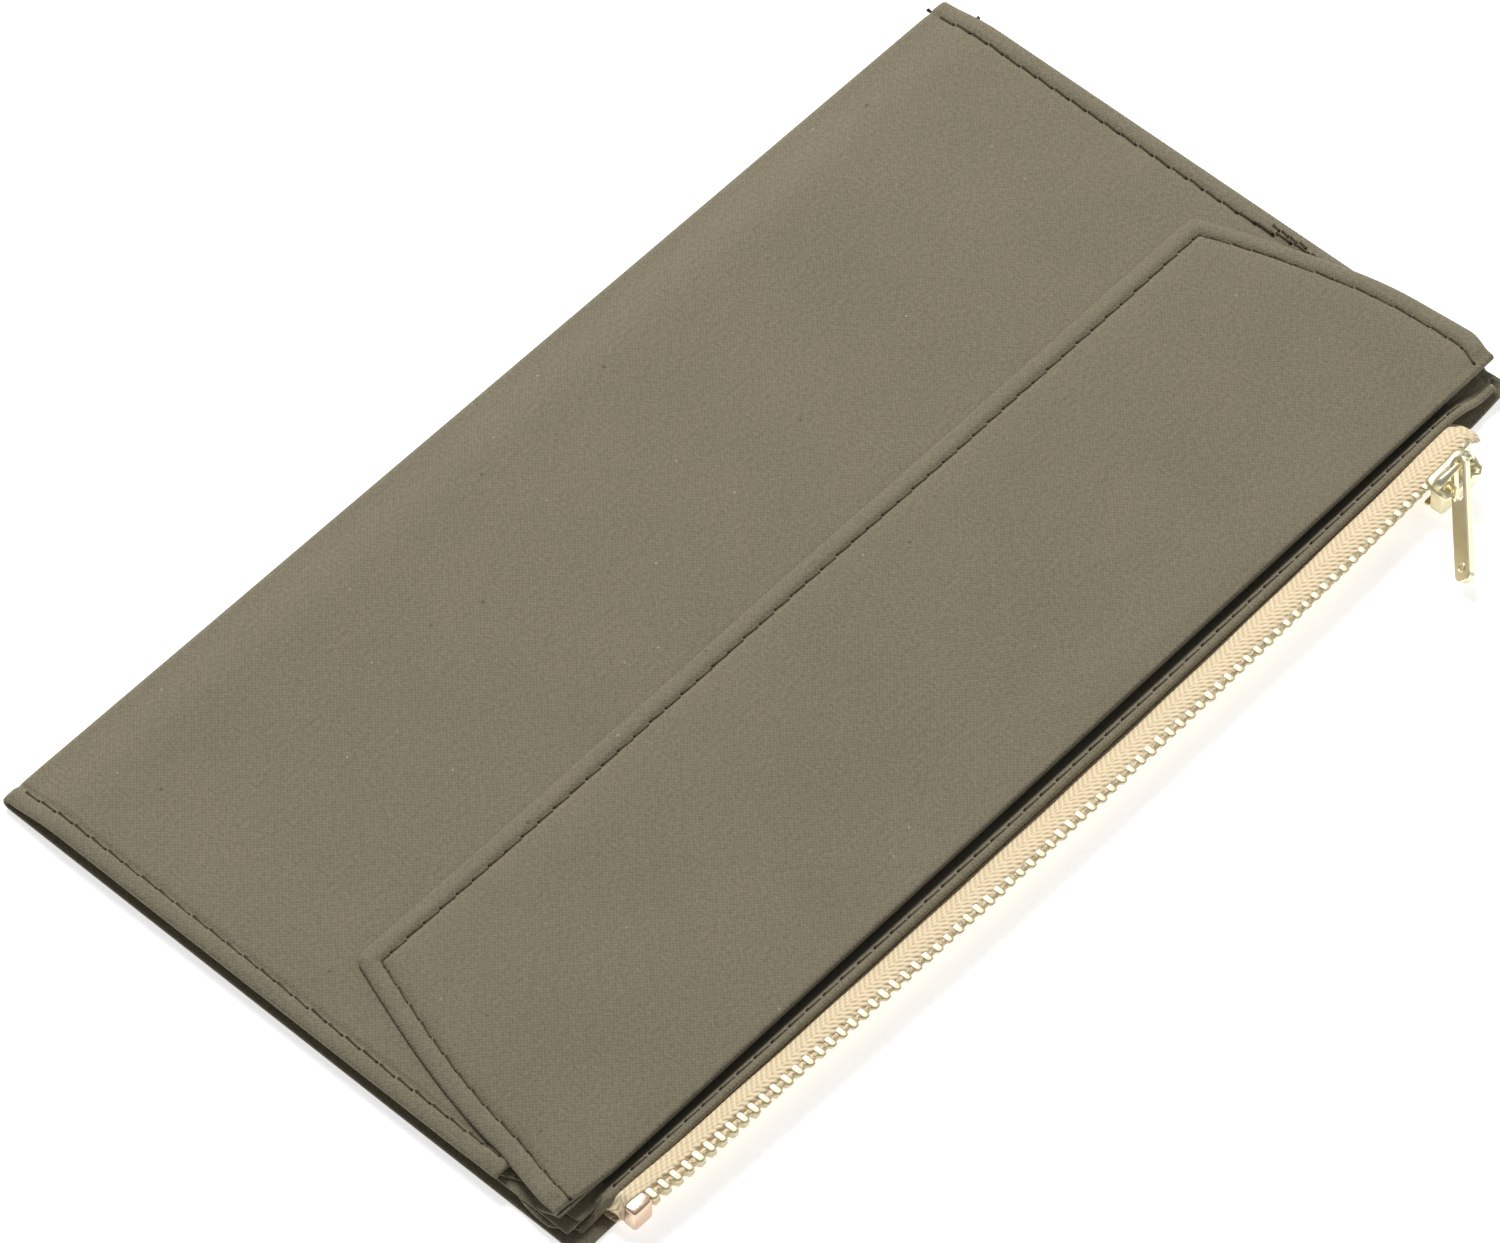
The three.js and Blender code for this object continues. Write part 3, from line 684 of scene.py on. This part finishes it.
EDGE_STEPS = lines((0, 1.2, 5), (1.2, 2.4, 4), (2.4, 3.6, 6), (3.6, 6, 4))
INNER_STEPS = np.linspace(6, 88, 42)[1:]
FROM_END = np.concatenate([EDGE_STEPS, INNER_STEPS])
ACROSS = np.concatenate([FROM_END, [94.0], FROM_END[::-1]])


def flap_height(x, y):
    """Middle of the flap's outer cloth: it lies on the front, pressed thin at its free edges, and climbs
    to the fold. Includes the sewn relief along the three free edges."""
    left, right = flap_ends(y)
    from_end = np.minimum(x - left, right - x)
    from_tip = flap_tip - y
    inside = np.minimum(from_end, from_tip)
    lying = front_base(x, np.maximum(y, front_mouth))
    resting = lying + 1.28 - 0.62 * bell(np.clip(inside, 0, None), 4.5)
    to_fold = smooth((front_mouth + 2 - y) / 12)
    height = resting * (1 - to_fold) + (flap_level + 0.12 * np.sin(x / 19)) * to_fold
    level = smooth((-50.5 - y) / 2.4)
    height = height * (1 - level) + flap_level * level
    sewn = np.where(from_tip < from_end, seam_relief(from_tip, x), seam_relief(from_end, y)) * (1 - level)
    lifted = 0.45 * smooth((x - 88) / 12) * smooth((-22 - y) / 14) * (1 - level)
    return height + sewn + lifted


flap_rows = lines((flap_tip, flap_tip - 6, 18), (flap_tip - 6, -48, 40), (-48, fold_pos[1], 9))[::-1]
flap_x, flap_y = flap_plan(0.0, ACROSS, flap_rows)
flap_top = joined(flap_x, flap_y, flap_height(flap_x, flap_y))
fold_turn = np.linspace(0, np.pi, 10)[1:, None]
fold_x = flap_top[-1, :, 0]
left_curl = 1.1 * smooth((-88 - fold_x) / 11)
flap_top[..., 1] += left_curl * smooth((fold_pos[1] + 8 - flap_top[..., 1]) / 8)
fold_rows = joined(fold_x, fold_pos[1] + left_curl - FOLD_RADIUS * np.sin(fold_turn),
                   fold_pos[2] + FOLD_RADIUS * np.cos(fold_turn))
flap_middle = np.concatenate([flap_top, fold_rows])
flap_cloth = thick_leaf("flap_cloth", flap_middle, CLOTH, olive_cloth, cloth_lengths(flap_middle))
(fold_pos[2] - FOLD_RADIUS) * MM
(fold_pos[2] + FOLD_RADIUS) * MM
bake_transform(flap_cloth)
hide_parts("flap_outer")

root_x = np.linspace(fold_x[0] + 0.2, fold_x[-1] - 0.2, 90)
root_t = np.linspace(0, 1, 18)[:, None]
root_y = fold_pos[1] + 8.4 * root_t ** 1.25
root_z = (fold_pos[2] - FOLD_RADIUS) + (divider_z + 0.42 - fold_pos[2] + FOLD_RADIUS) * smooth(root_t * 1.5)
flap_root = thick_leaf("flap_root_cloth", joined(root_x, root_y, root_z), CLOTH, olive_cloth)
fix(flap_root, "pouch")

# The stiffener, a non-woven sheet that stops short of the seam.
stiffener_finish = Recipe("stiffener", 0.95)
fibres = stiffener_finish.noise(stiffener_finish.object_place(), 900, 4.0)
raw_white = stiffener_finish.mix(fibres, (0.50, 0.47, 0.39, 1), (0.66, 0.63, 0.54, 1))
stiffener_finish.feed("Base Color", raw_white)
stiffener_finish.bump(fibres, 0.05)
stiff_rows = np.linspace(-50, flap_tip - 4, 30)[::-1]
stiff_x, stiff_y = flap_plan(4.0, ACROSS[::3], stiff_rows)
stiff_middle = joined(stiff_x, stiff_y, flap_height(stiff_x, stiff_y) - 0.42)
stiffener = thick_leaf("flap_stiffener", stiff_middle, 0.2, stiffener_finish)
fix(stiffener, "flap", "flap_interlining")

# The lining comes up out of the main pocket, turns over at the fold and covers the flap's inside.
lining_rows = lines((-51.4, -46, 8), (-46, flap_tip - 1.0, 40))[::-1]
lining_x, lining_y = flap_plan(0.9, ACROSS[::2], lining_rows)
thin_edge = bell(np.minimum(flap_tip - 1 - lining_y, (98 - np.abs(lining_x)).clip(0, None)), 5)
lining_top = flap_height(lining_x, lining_y) - 0.68 + 0.28 * thin_edge
lining_leaf = joined(lining_x, lining_y, lining_top)
pocket_x = lining_leaf[-1, :, 0]
dive = np.linspace(0, 1, 16)[1:, None]
dive_y = -51.4 - 1.0 * np.sin(np.pi * np.clip(dive * 1.8, 0, 1)) + 3.6 * smooth((dive - 0.3) / 0.7)
dive_z = lining_top[-1] + (divider_z + 0.75 - lining_top[-1]) * smooth(dive * 1.05)
lining_middle = np.concatenate([lining_leaf, joined(pocket_x, dive_y, dive_z)])
lining_flat = cloth_lengths(lining_middle)
flap_lining = thick_leaf("flap_lining_cloth", lining_middle, 0.25, lining_cloth, lining_flat)
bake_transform(flap_lining)
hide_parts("flap_lining")

# The seam follows the three free edges without a break.
run_down = np.linspace(-53.2, flap_tip - STITCH_MARGIN, 160)
left_run = joined(flap_ends(run_down)[0] + STITCH_MARGIN, run_down)
right_run = joined(flap_ends(run_down)[1] - STITCH_MARGIN, run_down)[::-1]
tip_run = joined(np.linspace(left_run[-1, 0], right_run[0, 0], 400)[1:-1], flap_tip - STITCH_MARGIN)
seam_plan = np.concatenate([left_run, tip_run, right_run])
seam_line = np.column_stack([seam_plan, flap_height(seam_plan[:, 0], seam_plan[:, 1]) + CLOTH / 2])
flap_stitches = stitch_row("flap_stitches", seam_line)
fix(flap_stitches, "flap", "thread_flap")

# ---- zip tapes ---------------------------------------------------------------------------------
# Beige polyester tape in herringbone bands, sewn behind the cloth, with a bead cord along the edge
# that the teeth are clamped on. The front tape humps over before it turns down to the chain.
tape_low, tape_high = span("zip_tape_front")
teeth_low, teeth_high = span("teeth_front")
chain_y = (teeth_low[1] + teeth_high[1]) / 2
chain_z = (teeth_low[2] + span("teeth_back")[1][2]) / 2
CHAIN_HALF = teeth_high[2] - chain_z
TAPE = 0.3

zip_tape = Recipe("zip_tape", 0.78, sheen=0.15)
tape_place = zip_tape.cloth_place()
tape_along, tape_across = zip_tape.across(tape_place)
zigzag = zip_tape.node("ShaderNodeMath", {"operation": "PINGPONG"}, {0: tape_across, 1: 2.3})
rib_wave = ((tape_along + zigzag * 0.9) * (2 * np.pi / 1.0)).sine()
bead_wave = ((tape_across - tape_along * 0.25) * (2 * np.pi / 0.72)).sine()
tape_fuzz = zip_tape.noise(zip_tape.cloth_place((90, 90, 1)), 1.0)
tape_tone = (rib_wave * 0.2 + bead_wave * 0.1 + tape_fuzz * 0.4 + 0.36).clamped()
zip_tape.feed("Base Color", zip_tape.mix(tape_tone, (0.60, 0.45, 0.255, 1), (1.0, 0.84, 0.56, 1)))
zip_tape.feed("Roughness", 0.7 + 0.15 * tape_tone)
zip_tape.bump(rib_wave * 0.35 + bead_wave * 0.2 + tape_fuzz * 0.3 + 0.4, 0.16)


tape_left = tape_low[0] + 2.7
tape_right = tape_high[0] - 1.9


def uncovered(x):
    """How far the front tape's edge draws back from the teeth: 0.9 mm at the left, and half a
    millimetre the other way, over the teeth, at the right."""
    return 0.9 * smooth((-30 - x) / 50) - 0.5 * smooth((x - 20) / 40)


def lean(x, z):
    """The chain is rolled under: points below its top row step back, less so towards the left."""
    return 0.85 * (1 - 0.6 * smooth((-30 - x) / 50)) * (chain_z + CHAIN_HALF - z)


def tape_middle(side):
    """A tape across its width: side 1 is the front one, which humps, side -1 the flat back one.
    The path is a smooth line through a few points, carried along X and bowed with the chain. The
    front tape stays under the strip that is sewn on it."""
    x = lines((tape_left, tape_left + 3, 10), (tape_left + 3, tape_right - 3, 80),
              (tape_right - 3, tape_right, 10))
    if side > 0:
        knots = [(-49.0, 0.9), (-53.5, 1.6), (-55.7, 3.3), (-57.3, 4.6), (-58.8, 5.35), (-60.2, 5.55),
                 (-60.9, 5.2), (-61.1, 4.75)]
    else:
        knots = [(-49.0, 0.72), (-55.0, 0.72), (-57.2, 0.75), (-58.7, 0.85), (-59.35, 1.05),
                 (-59.6, 1.45), (-59.6, 1.75)]
    knots = np.array(knots)
    walk = np.concatenate([[0], np.cumsum(np.linalg.norm(np.diff(knots, axis=0), axis=1))])
    fine = np.linspace(0, walk[-1], 46)
    y = np.interp(fine, walk, knots[:, 0])
    z = np.interp(fine, walk, knots[:, 1])
    for _ in range(3):
        y[1:-1] = (y[:-2] + y[1:-1] * 2 + y[2:]) / 4
        z[1:-1] = (z[:-2] + z[1:-1] * 2 + z[2:]) / 4
    y, z = y[:, None], z[:, None]
    share = smooth((-50 - y) / 8)
    grid_y = y + chain_bow(x) * share + (side > 0) * uncovered(x) * smooth((-59.3 - y) / 1.6)
    end_left = 1 - smooth((x - tape_left) / 2.2)
    end_right = 1 - smooth((tape_right - x) / 2.5)
    droop = (2.2 * end_left + 1.5 * end_right) * share * (side > 0)
    ripple = 0.06 * np.sin(x / 2.9) * share
    grid_z = z - droop * smooth((z - 1) / 3) + ripple * (side > 0)
    grid_y = grid_y + 0.5 * end_left * share
    if side > 0:
        edge_y, edge_z = mouth_edge(x)
        rise = np.clip((strip_start - grid_y) / (strip_start - edge_y), 0, 1.2)
        ceiling = divider_z + (edge_z - divider_z) * strip_rise(np.clip(rise, 0, 1))
        ceiling = ceiling - 0.36 - 0.45 * smooth((rise - 0.6) / 0.2)
        covered = smooth((1.1 - rise) / 0.1)
        grid_z = grid_z * (1 - covered) + np.minimum(grid_z, np.maximum(ceiling, 0.9)) * covered
    return joined(x, grid_y, grid_z)


def bead_tube(name, side):
    """The bead cord: a tube along the tape's edge, swelling a little between the teeth."""
    x = np.linspace(tape_left + 0.6, tape_right - 0.8, 420)[:, None]
    turn = np.arange(10) * np.pi / 5
    radius = 0.52 + 0.05 * np.cos(2 * np.pi * x / 1.075)
    sag = 1.9 * (1 - smooth((x - tape_left) / 2.4)) + 1.3 * (1 - smooth((tape_right - x) / 2.5))
    sag = sag * (side > 0)
    z = chain_z + side * (CHAIN_HALF - 0.35) - sag - radius * np.sin(turn)
    y = chain_y + chain_bow(x) + radius * np.cos(turn) + lean(x, z)
    faces = tube_faces(1, len(x), len(turn))
    bead = make_piece(name, joined(x, y, z), faces, zip_tape, joined(x, 0.5 * turn))
    fix(bead, "pouch")
    return bead


for tape_name, tape_side in (("zip_tape_front", 1), ("zip_tape_back", -1)):
    woven_middle = tape_middle(tape_side)
    bead = bead_tube(tape_name + "_bead", tape_side)
    tape = thick_leaf(tape_name + "_woven", woven_middle, TAPE, zip_tape, cloth_lengths(woven_middle))
    tape.data.flip_normals()
    fix(tape, "pouch", tape_name)

# ---- teeth and stops ---------------------------------------------------------------------------
# Pale gold metal teeth, duller than the slider, clamped over the bead cord with their heads meeting
# in the middle. The closed end has a rose gold box clamp, the open end a small clamp on each tape.
TOOTH_PITCH = 2.15


def metal_finish(name, base, roughness):
    """Plated metal: its polish is broken by fine scuffs and a slow change of tone."""
    recipe = Recipe(name, roughness, metallic=1.0)
    place = recipe.object_place()
    scuff = recipe.noise(place, 2200, 3.0)
    cloud = recipe.noise(place, 260)
    deep = tuple(0.86 * part for part in base) + (1,)
    recipe.feed("Base Color", recipe.mix(cloud, deep, base + (1,)))
    recipe.feed("Roughness", roughness - 0.06 + 0.2 * scuff)
    recipe.bump(scuff, 0.012)
    return recipe


zip_metal = metal_finish("zip_metal", (0.93, 0.85, 0.59), 0.33)
tooth_metal = metal_finish("tooth_metal", (0.80, 0.71, 0.49), 0.5)
stop_metal = metal_finish("stop_metal", (0.86, 0.64, 0.47), 0.3)


def stacked(sections, around, power):
    """Rings of a rounded block: each section is (height, half x, half y), a superellipse in plan."""
    turn = (np.arange(around) + 0.5) * 2 * np.pi / around
    ring_x = np.sign(np.cos(turn)) * np.abs(np.cos(turn)) ** power
    ring_y = np.sign(np.sin(turn)) * np.abs(np.sin(turn)) ** power
    sections = np.asarray(sections, float)
    return joined(sections[:, 1:2] * ring_x, sections[:, 2:3] * ring_y, sections[:, 0:1])


TOOTH = [(-2.42, 0.25, 0.4), (-2.25, 0.44, 0.66), (-1.75, 0.5, 0.78), (-1.15, 0.5, 0.82),
         (-0.9, 0.66, 1.2), (-0.25, 0.72, 1.3), (0.2, 0.6, 1.1), (0.28, 0.4, 0.8)]


def teeth_row(name, node, side):
    """One row: like teeth at an even pitch, along the bowed chain, heads towards the other row.
    Towards the right they are narrower and stand further out, tucked under the tape."""
    low, high = span(node)
    first = low[0] + 0.55
    count = int(round((high[0] - low[0] - 1.1) / TOOTH_PITCH)) + 1
    x = first + TOOTH_PITCH * np.arange(count)
    tooth = stacked(TOOTH, 8, 0.62) * (1, 1, side)
    if side < 0:
        tooth = tooth[::-1]
    place = joined(x, chain_y + chain_bow(x), chain_z + side * CHAIN_HALF)
    uneven = 1 + 0.04 * shaken.standard_normal((count, 1, 1, 3))
    tucked = 0.3 * smooth((x - 10) / 40)[:, None, None]
    points = tooth * uneven
    points[..., 1] *= 1 - tucked
    points[..., 1] -= 1.8 * tucked
    points = points + place[:, None, None, :]
    points[..., 1] += lean(points[..., 0], points[..., 2])
    fix(make_piece(name, points, tube_faces(count, 8, 8), tooth_metal), "pouch", node)


teeth_row("front_row_of_teeth", "teeth_front", 1)
teeth_row("back_row_of_teeth", "teeth_back", -1)


def clamp(name, node, finish, grow):
    """A folded metal clamp in the place of its part of the model, rounded, a touch larger than the part."""
    low, high = span(node)
    middle = (low + high) / 2
    half = (high - low) / 2 + grow
    rounding = [(1, 0, 0.3), (1, 0.12, 0.1), (1, 0.35, 0), (0, 0, 0)]
    lower = [(-full * half[2] + up, half[0] - cut, half[1] - cut) for full, up, cut in rounding]
    upper = [(-height, half_x, half_y) for height, half_x, half_y in lower[-2::-1]]
    block = stacked(lower + upper, 24, 0.35) + middle + (0, chain_bow(middle[0]), 0)
    fix(make_piece(name, block, tube_faces(1, 7, 24), finish), "pouch", node)


clamp("bottom_clamp", "bottom_stop", stop_metal, np.array([0.35, 0.15, 0.2]))
clamp("top_clamp_front", "top_stop_front", zip_metal, 0.15)
clamp("top_clamp_back", "top_stop_back", zip_metal, 0.15)

# ---- slider ------------------------------------------------------------------------------------
# A die-cast slider: a tipped crown plate with turned-down rims, side walls round the chain, two
# six-sided lugs, and over them the arched bar that carries the pull.
slider_low, slider_high = span("slider_body")
bridge_low, bridge_high = span("slider_bridge")
slider_x = (bridge_low[0] + bridge_high[0]) / 2
CROWN_TILT = np.radians(74)
crown_middle = np.array([slider_x, chain_y - 2.7, chain_z + 2.1])
ALONG = np.array([1.0, 0, 0])
OUT = np.array([0, -np.cos(CROWN_TILT), np.sin(CROWN_TILT)])
ACROSS_CROWN = np.cross(OUT, ALONG) * -1


def on_crown(local):
    """Turns (along, across, out) measured from the crown's middle into the model's frame."""
    local = np.asarray(local, float)
    return (crown_middle + local[..., :1] * ALONG + local[..., 1:2] * ACROSS_CROWN + local[..., 2:3] * OUT)


def slider_piece(name, points, faces, node=None, smooth=True):
    """A bright metal piece that rides on the slider."""
    fix(make_piece(name, points, faces, zip_metal, smooth=smooth), "slider", node)


def turned_out(faces):
    """The same faces with their corners in the other order, for rings that run the other way."""
    return [group[..., ::-1] for group in faces]


# Crown: sections across it are rounded blocks with their rims bent down; wide at the end where the
# teeth part, narrower at the other.
crown_walk = np.linspace(-4.5, 4.5, 25)
crown_turn = np.linspace(0, 2 * np.pi, 24, endpoint=False)
crown_half = 2.45 + 0.2 * smooth((crown_walk - 0.5) / 2.5)
end_round = np.sqrt(np.clip(1 - (np.abs(crown_walk) / 4.62) ** 8, 0, 1))
section_across = np.sign(np.cos(crown_turn)) * np.abs(np.cos(crown_turn)) ** 0.55
section_out = np.sign(np.sin(crown_turn)) * np.abs(np.sin(crown_turn)) ** 0.7
crown_points = joined(
    crown_walk[:, None],
    (crown_half * end_round)[:, None] * section_across - 0.2,
    0.48 * (0.35 + 0.65 * end_round)[:, None] * section_out - 0.5 * np.abs(section_across) ** 6)
slider_piece("slider_crown", on_crown(crown_points), turned_out(tube_faces(1, 25, 24)), "slider_body")


def block_between(low, high, round_by=0.25):
    """A rounded block between two corners, as stacked superellipses."""
    low, high = np.asarray(low, float), np.asarray(high, float)
    half = (high - low) / 2
    steps = [(-half[2], 1.0), (-half[2] + round_by * 0.35, 0.35), (-half[2] + round_by, 0.0),
             (half[2] - round_by, 0.0), (half[2] - round_by * 0.35, 0.35), (half[2], 1.0)]
    sections = [(z, half[0] - share * round_by, half[1] - share * round_by) for z, share in steps]
    return stacked(sections, 24, 0.3) + (low + high) / 2


walls = [block_between((slider_x - 4.0, slider_low[1] + 1.0, slider_low[2]),
                       (slider_x + 4.0, chain_y - 1.3, crown_middle[2] - 0.2)),
         block_between((slider_x - 4.0, chain_y + 1.3, chain_z - CHAIN_HALF + 0.2),
                       (slider_x + 4.0, slider_high[1], chain_z + CHAIN_HALF - 0.2), 0.2),
         block_between((slider_x - 4.0, chain_y - 1.5, slider_low[2]),
                       (slider_x + 4.0, chain_y - 0.45, chain_z - CHAIN_HALF - 0.3), 0.15)]
slider_piece("slider_walls", np.stack(walls), tube_faces(3, 6, 24))

# Lugs: six-sided rings that stand on the crown, one at each end of the bar, on a short post.


def lug_ring(centre, outer, wire):
    """A ring with six flats, round in section, lying parallel to the crown."""
    corner = (np.arange(6) * np.pi / 3 + np.pi / 6)[:, None]
    turn = np.arange(6) * np.pi / 3
    radius = outer + wire * np.cos(turn)
    return on_crown(joined(radius * np.cos(corner), radius * np.sin(corner), wire * np.sin(turn)) + centre)


def ring_faces(copies, corners, around):
    """Faces of closed rings; points are numbered ring, corner, place round the wire."""
    index = np.arange(copies * corners * around).reshape(copies, corners, around)
    on = np.roll(index, -1, axis=1)
    after = np.roll(index, -1, axis=2)
    both = np.roll(on, -1, axis=2)
    return [joined(index, on, both, after).reshape(-1, 4)]


LUG_PLACES = [(-3.3, 1.0, 1.35), (2.1, 1.35, 1.35)]
lug_rings = np.stack([lug_ring(np.array(place), 1.12, 0.36) for place in LUG_PLACES])
slider_piece("slider_lugs", lug_rings, ring_faces(2, 6, 6), smooth=False)
post = stacked([(0.2, 1.0, 0.85), (0.6, 0.85, 0.7), (0.8, 0.6, 0.5), (0.85, 0.35, 0.3)], 12, 0.8)
posts = np.stack([on_crown(post + (place[0], place[1], 0)) for place in LUG_PLACES])
slider_piece("slider_posts", posts, turned_out(tube_faces(2, 4, 12)))

# Bar: a flat strip bent down at both ends, swept along its own middle line.
BAR_OUT = 2.6
bar_line = np.array([(-4.15, 0.35), (-4.2, 1.3), (-4.0, 2.05), (-3.4, 2.45), (-1.8, BAR_OUT),
                     (-0.4, BAR_OUT + 0.02), (1.0, BAR_OUT), (2.5, 2.45), (3.1, 2.05), (3.25, 1.3),
                     (3.2, 0.35)])
bar_ahead = np.gradient(bar_line, axis=0)
bar_ahead /= np.linalg.norm(bar_ahead, axis=1, keepdims=True)
bar_up = joined(-bar_ahead[:, 1], bar_ahead[:, 0])
bar_turn = (np.arange(8) + 0.5) * np.pi / 4
bar_width = np.array([0.75, 0.75, 0.7, 0.58, 0.5, 0.48, 0.5, 0.58, 0.7, 0.75, 0.75])[:, None]
bar_across = bar_width * np.sign(np.cos(bar_turn)) * np.abs(np.cos(bar_turn)) ** 0.6
bar_thick = 0.3 * np.sign(np.sin(bar_turn)) * np.abs(np.sin(bar_turn)) ** 0.6
bar_points = joined(bar_line[:, :1] + bar_up[:, :1] * bar_thick, bar_across - 0.35,
                    bar_line[:, 1:] + bar_up[:, 1:] * bar_thick)
slider_piece("slider_bar", on_crown(bar_points), turned_out(tube_faces(1, 11, 8)), "slider_bridge")

# ---- pull --------------------------------------------------------------------------------------
# A flat slotted bar with a rounded tip and a small eye. It hangs on the slider's bar, leaning on its
# edge and sloping down to the floor.
pull_place = joint_place("pull_swing")
PULL_REACH = 0.9
PULL_SLOT = 6.0
PULL_LENGTH = 17.3
PULL_HALF = 1.6
PULL_WALL = 0.7
PULL_THICK = 1.2
PULL_TURN, PULL_DROOP, PULL_ROLL = np.radians([-137, 20.5, 53])


def turned(axis, angle):
    """A turn about one of the three axes, as a matrix."""
    cosine, sine = np.cos(angle), np.sin(angle)
    first, second = [(1, 2), (2, 0), (0, 1)][axis]
    matrix = np.eye(3)
    matrix[first, first] = matrix[second, second] = cosine
    matrix[second, first] = sine
    matrix[first, second] = -sine
    return matrix


pull_frame = turned(2, PULL_TURN) @ turned(1, PULL_DROOP) @ turned(0, PULL_ROLL)


def rounded_outline(x0, x1, half, corner):
    """A long outline walked once round: a quarter circle of 12 points at each of its four corners."""
    turn = (np.linspace(0, 1, 12) + np.arange(4)[:, None]) * np.pi / 2
    middle_x = np.array([x1 - corner, x0 + corner, x0 + corner, x1 - corner])[:, None]
    middle_y = (half - corner) * np.array([1, 1, -1, -1])[:, None]
    return joined(middle_x + corner * np.cos(turn), middle_y + corner * np.sin(turn)).reshape(-1, 2)


# The plate is a closed band between its outline and its slot: eight loops walk over the outer edge,
# across the face, down through the slot and back under, with small chamfers.
outline = rounded_outline(-PULL_REACH - PULL_WALL, PULL_LENGTH, PULL_HALF, PULL_HALF - 0.35)
slot_line = rounded_outline(-PULL_REACH, -PULL_REACH + PULL_SLOT, PULL_HALF - PULL_WALL, 0.6)
CHAMFER = 0.16


def shrunk(loop, by):
    """A loop moved inwards by a distance along its own normals; outwards if the distance is negative."""
    ahead = np.roll(loop, -1, axis=0) - np.roll(loop, 1, axis=0)
    ahead /= np.linalg.norm(ahead, axis=1, keepdims=True)
    return loop + by * joined(-ahead[:, 1], ahead[:, 0])


half_thick = PULL_THICK / 2
flat_edge = half_thick - CHAMFER
band = [(outline, 0, -flat_edge), (outline, 0, flat_edge), (outline, CHAMFER, half_thick),
        (slot_line, -CHAMFER, half_thick), (slot_line, 0, flat_edge), (slot_line, 0, -flat_edge),
        (slot_line, -CHAMFER, -half_thick), (outline, CHAMFER, -half_thick)]
pull_local = np.stack([np.column_stack([shrunk(loop, by), np.full(len(loop), z)]) for loop, by, z in band])
pull_points = pull_local @ pull_frame.T + pull_place
pull_faces = turned_out(ring_faces(1, 8, len(outline)))
pull = make_piece("pull", pull_points, pull_faces, zip_metal, smooth=False)
fix(pull, "pull", "pull_tab")

# The eye is a raised eyelet round a dimple near the tip, on both faces.
EYE_X = PULL_LENGTH - 2.1
eye_ring = (np.arange(16) * np.pi / 8)[:, None]
eye_turn = np.arange(6) * np.pi / 3
eye_radius = 0.62 + 0.14 * np.cos(eye_turn)
eye_x = EYE_X + eye_radius * np.cos(eye_ring)
eye_y = eye_radius * np.sin(eye_ring)
eye_rise = 0.14 * np.sin(eye_turn)
eyes = np.stack([joined(eye_x, eye_y, face * half_thick + eye_rise) for face in (1, -1)])
eyelet = make_piece("pull_eyelet", eyes @ pull_frame.T + pull_place, ring_faces(2, 16, 6), zip_metal)
fix(eyelet, "pull")
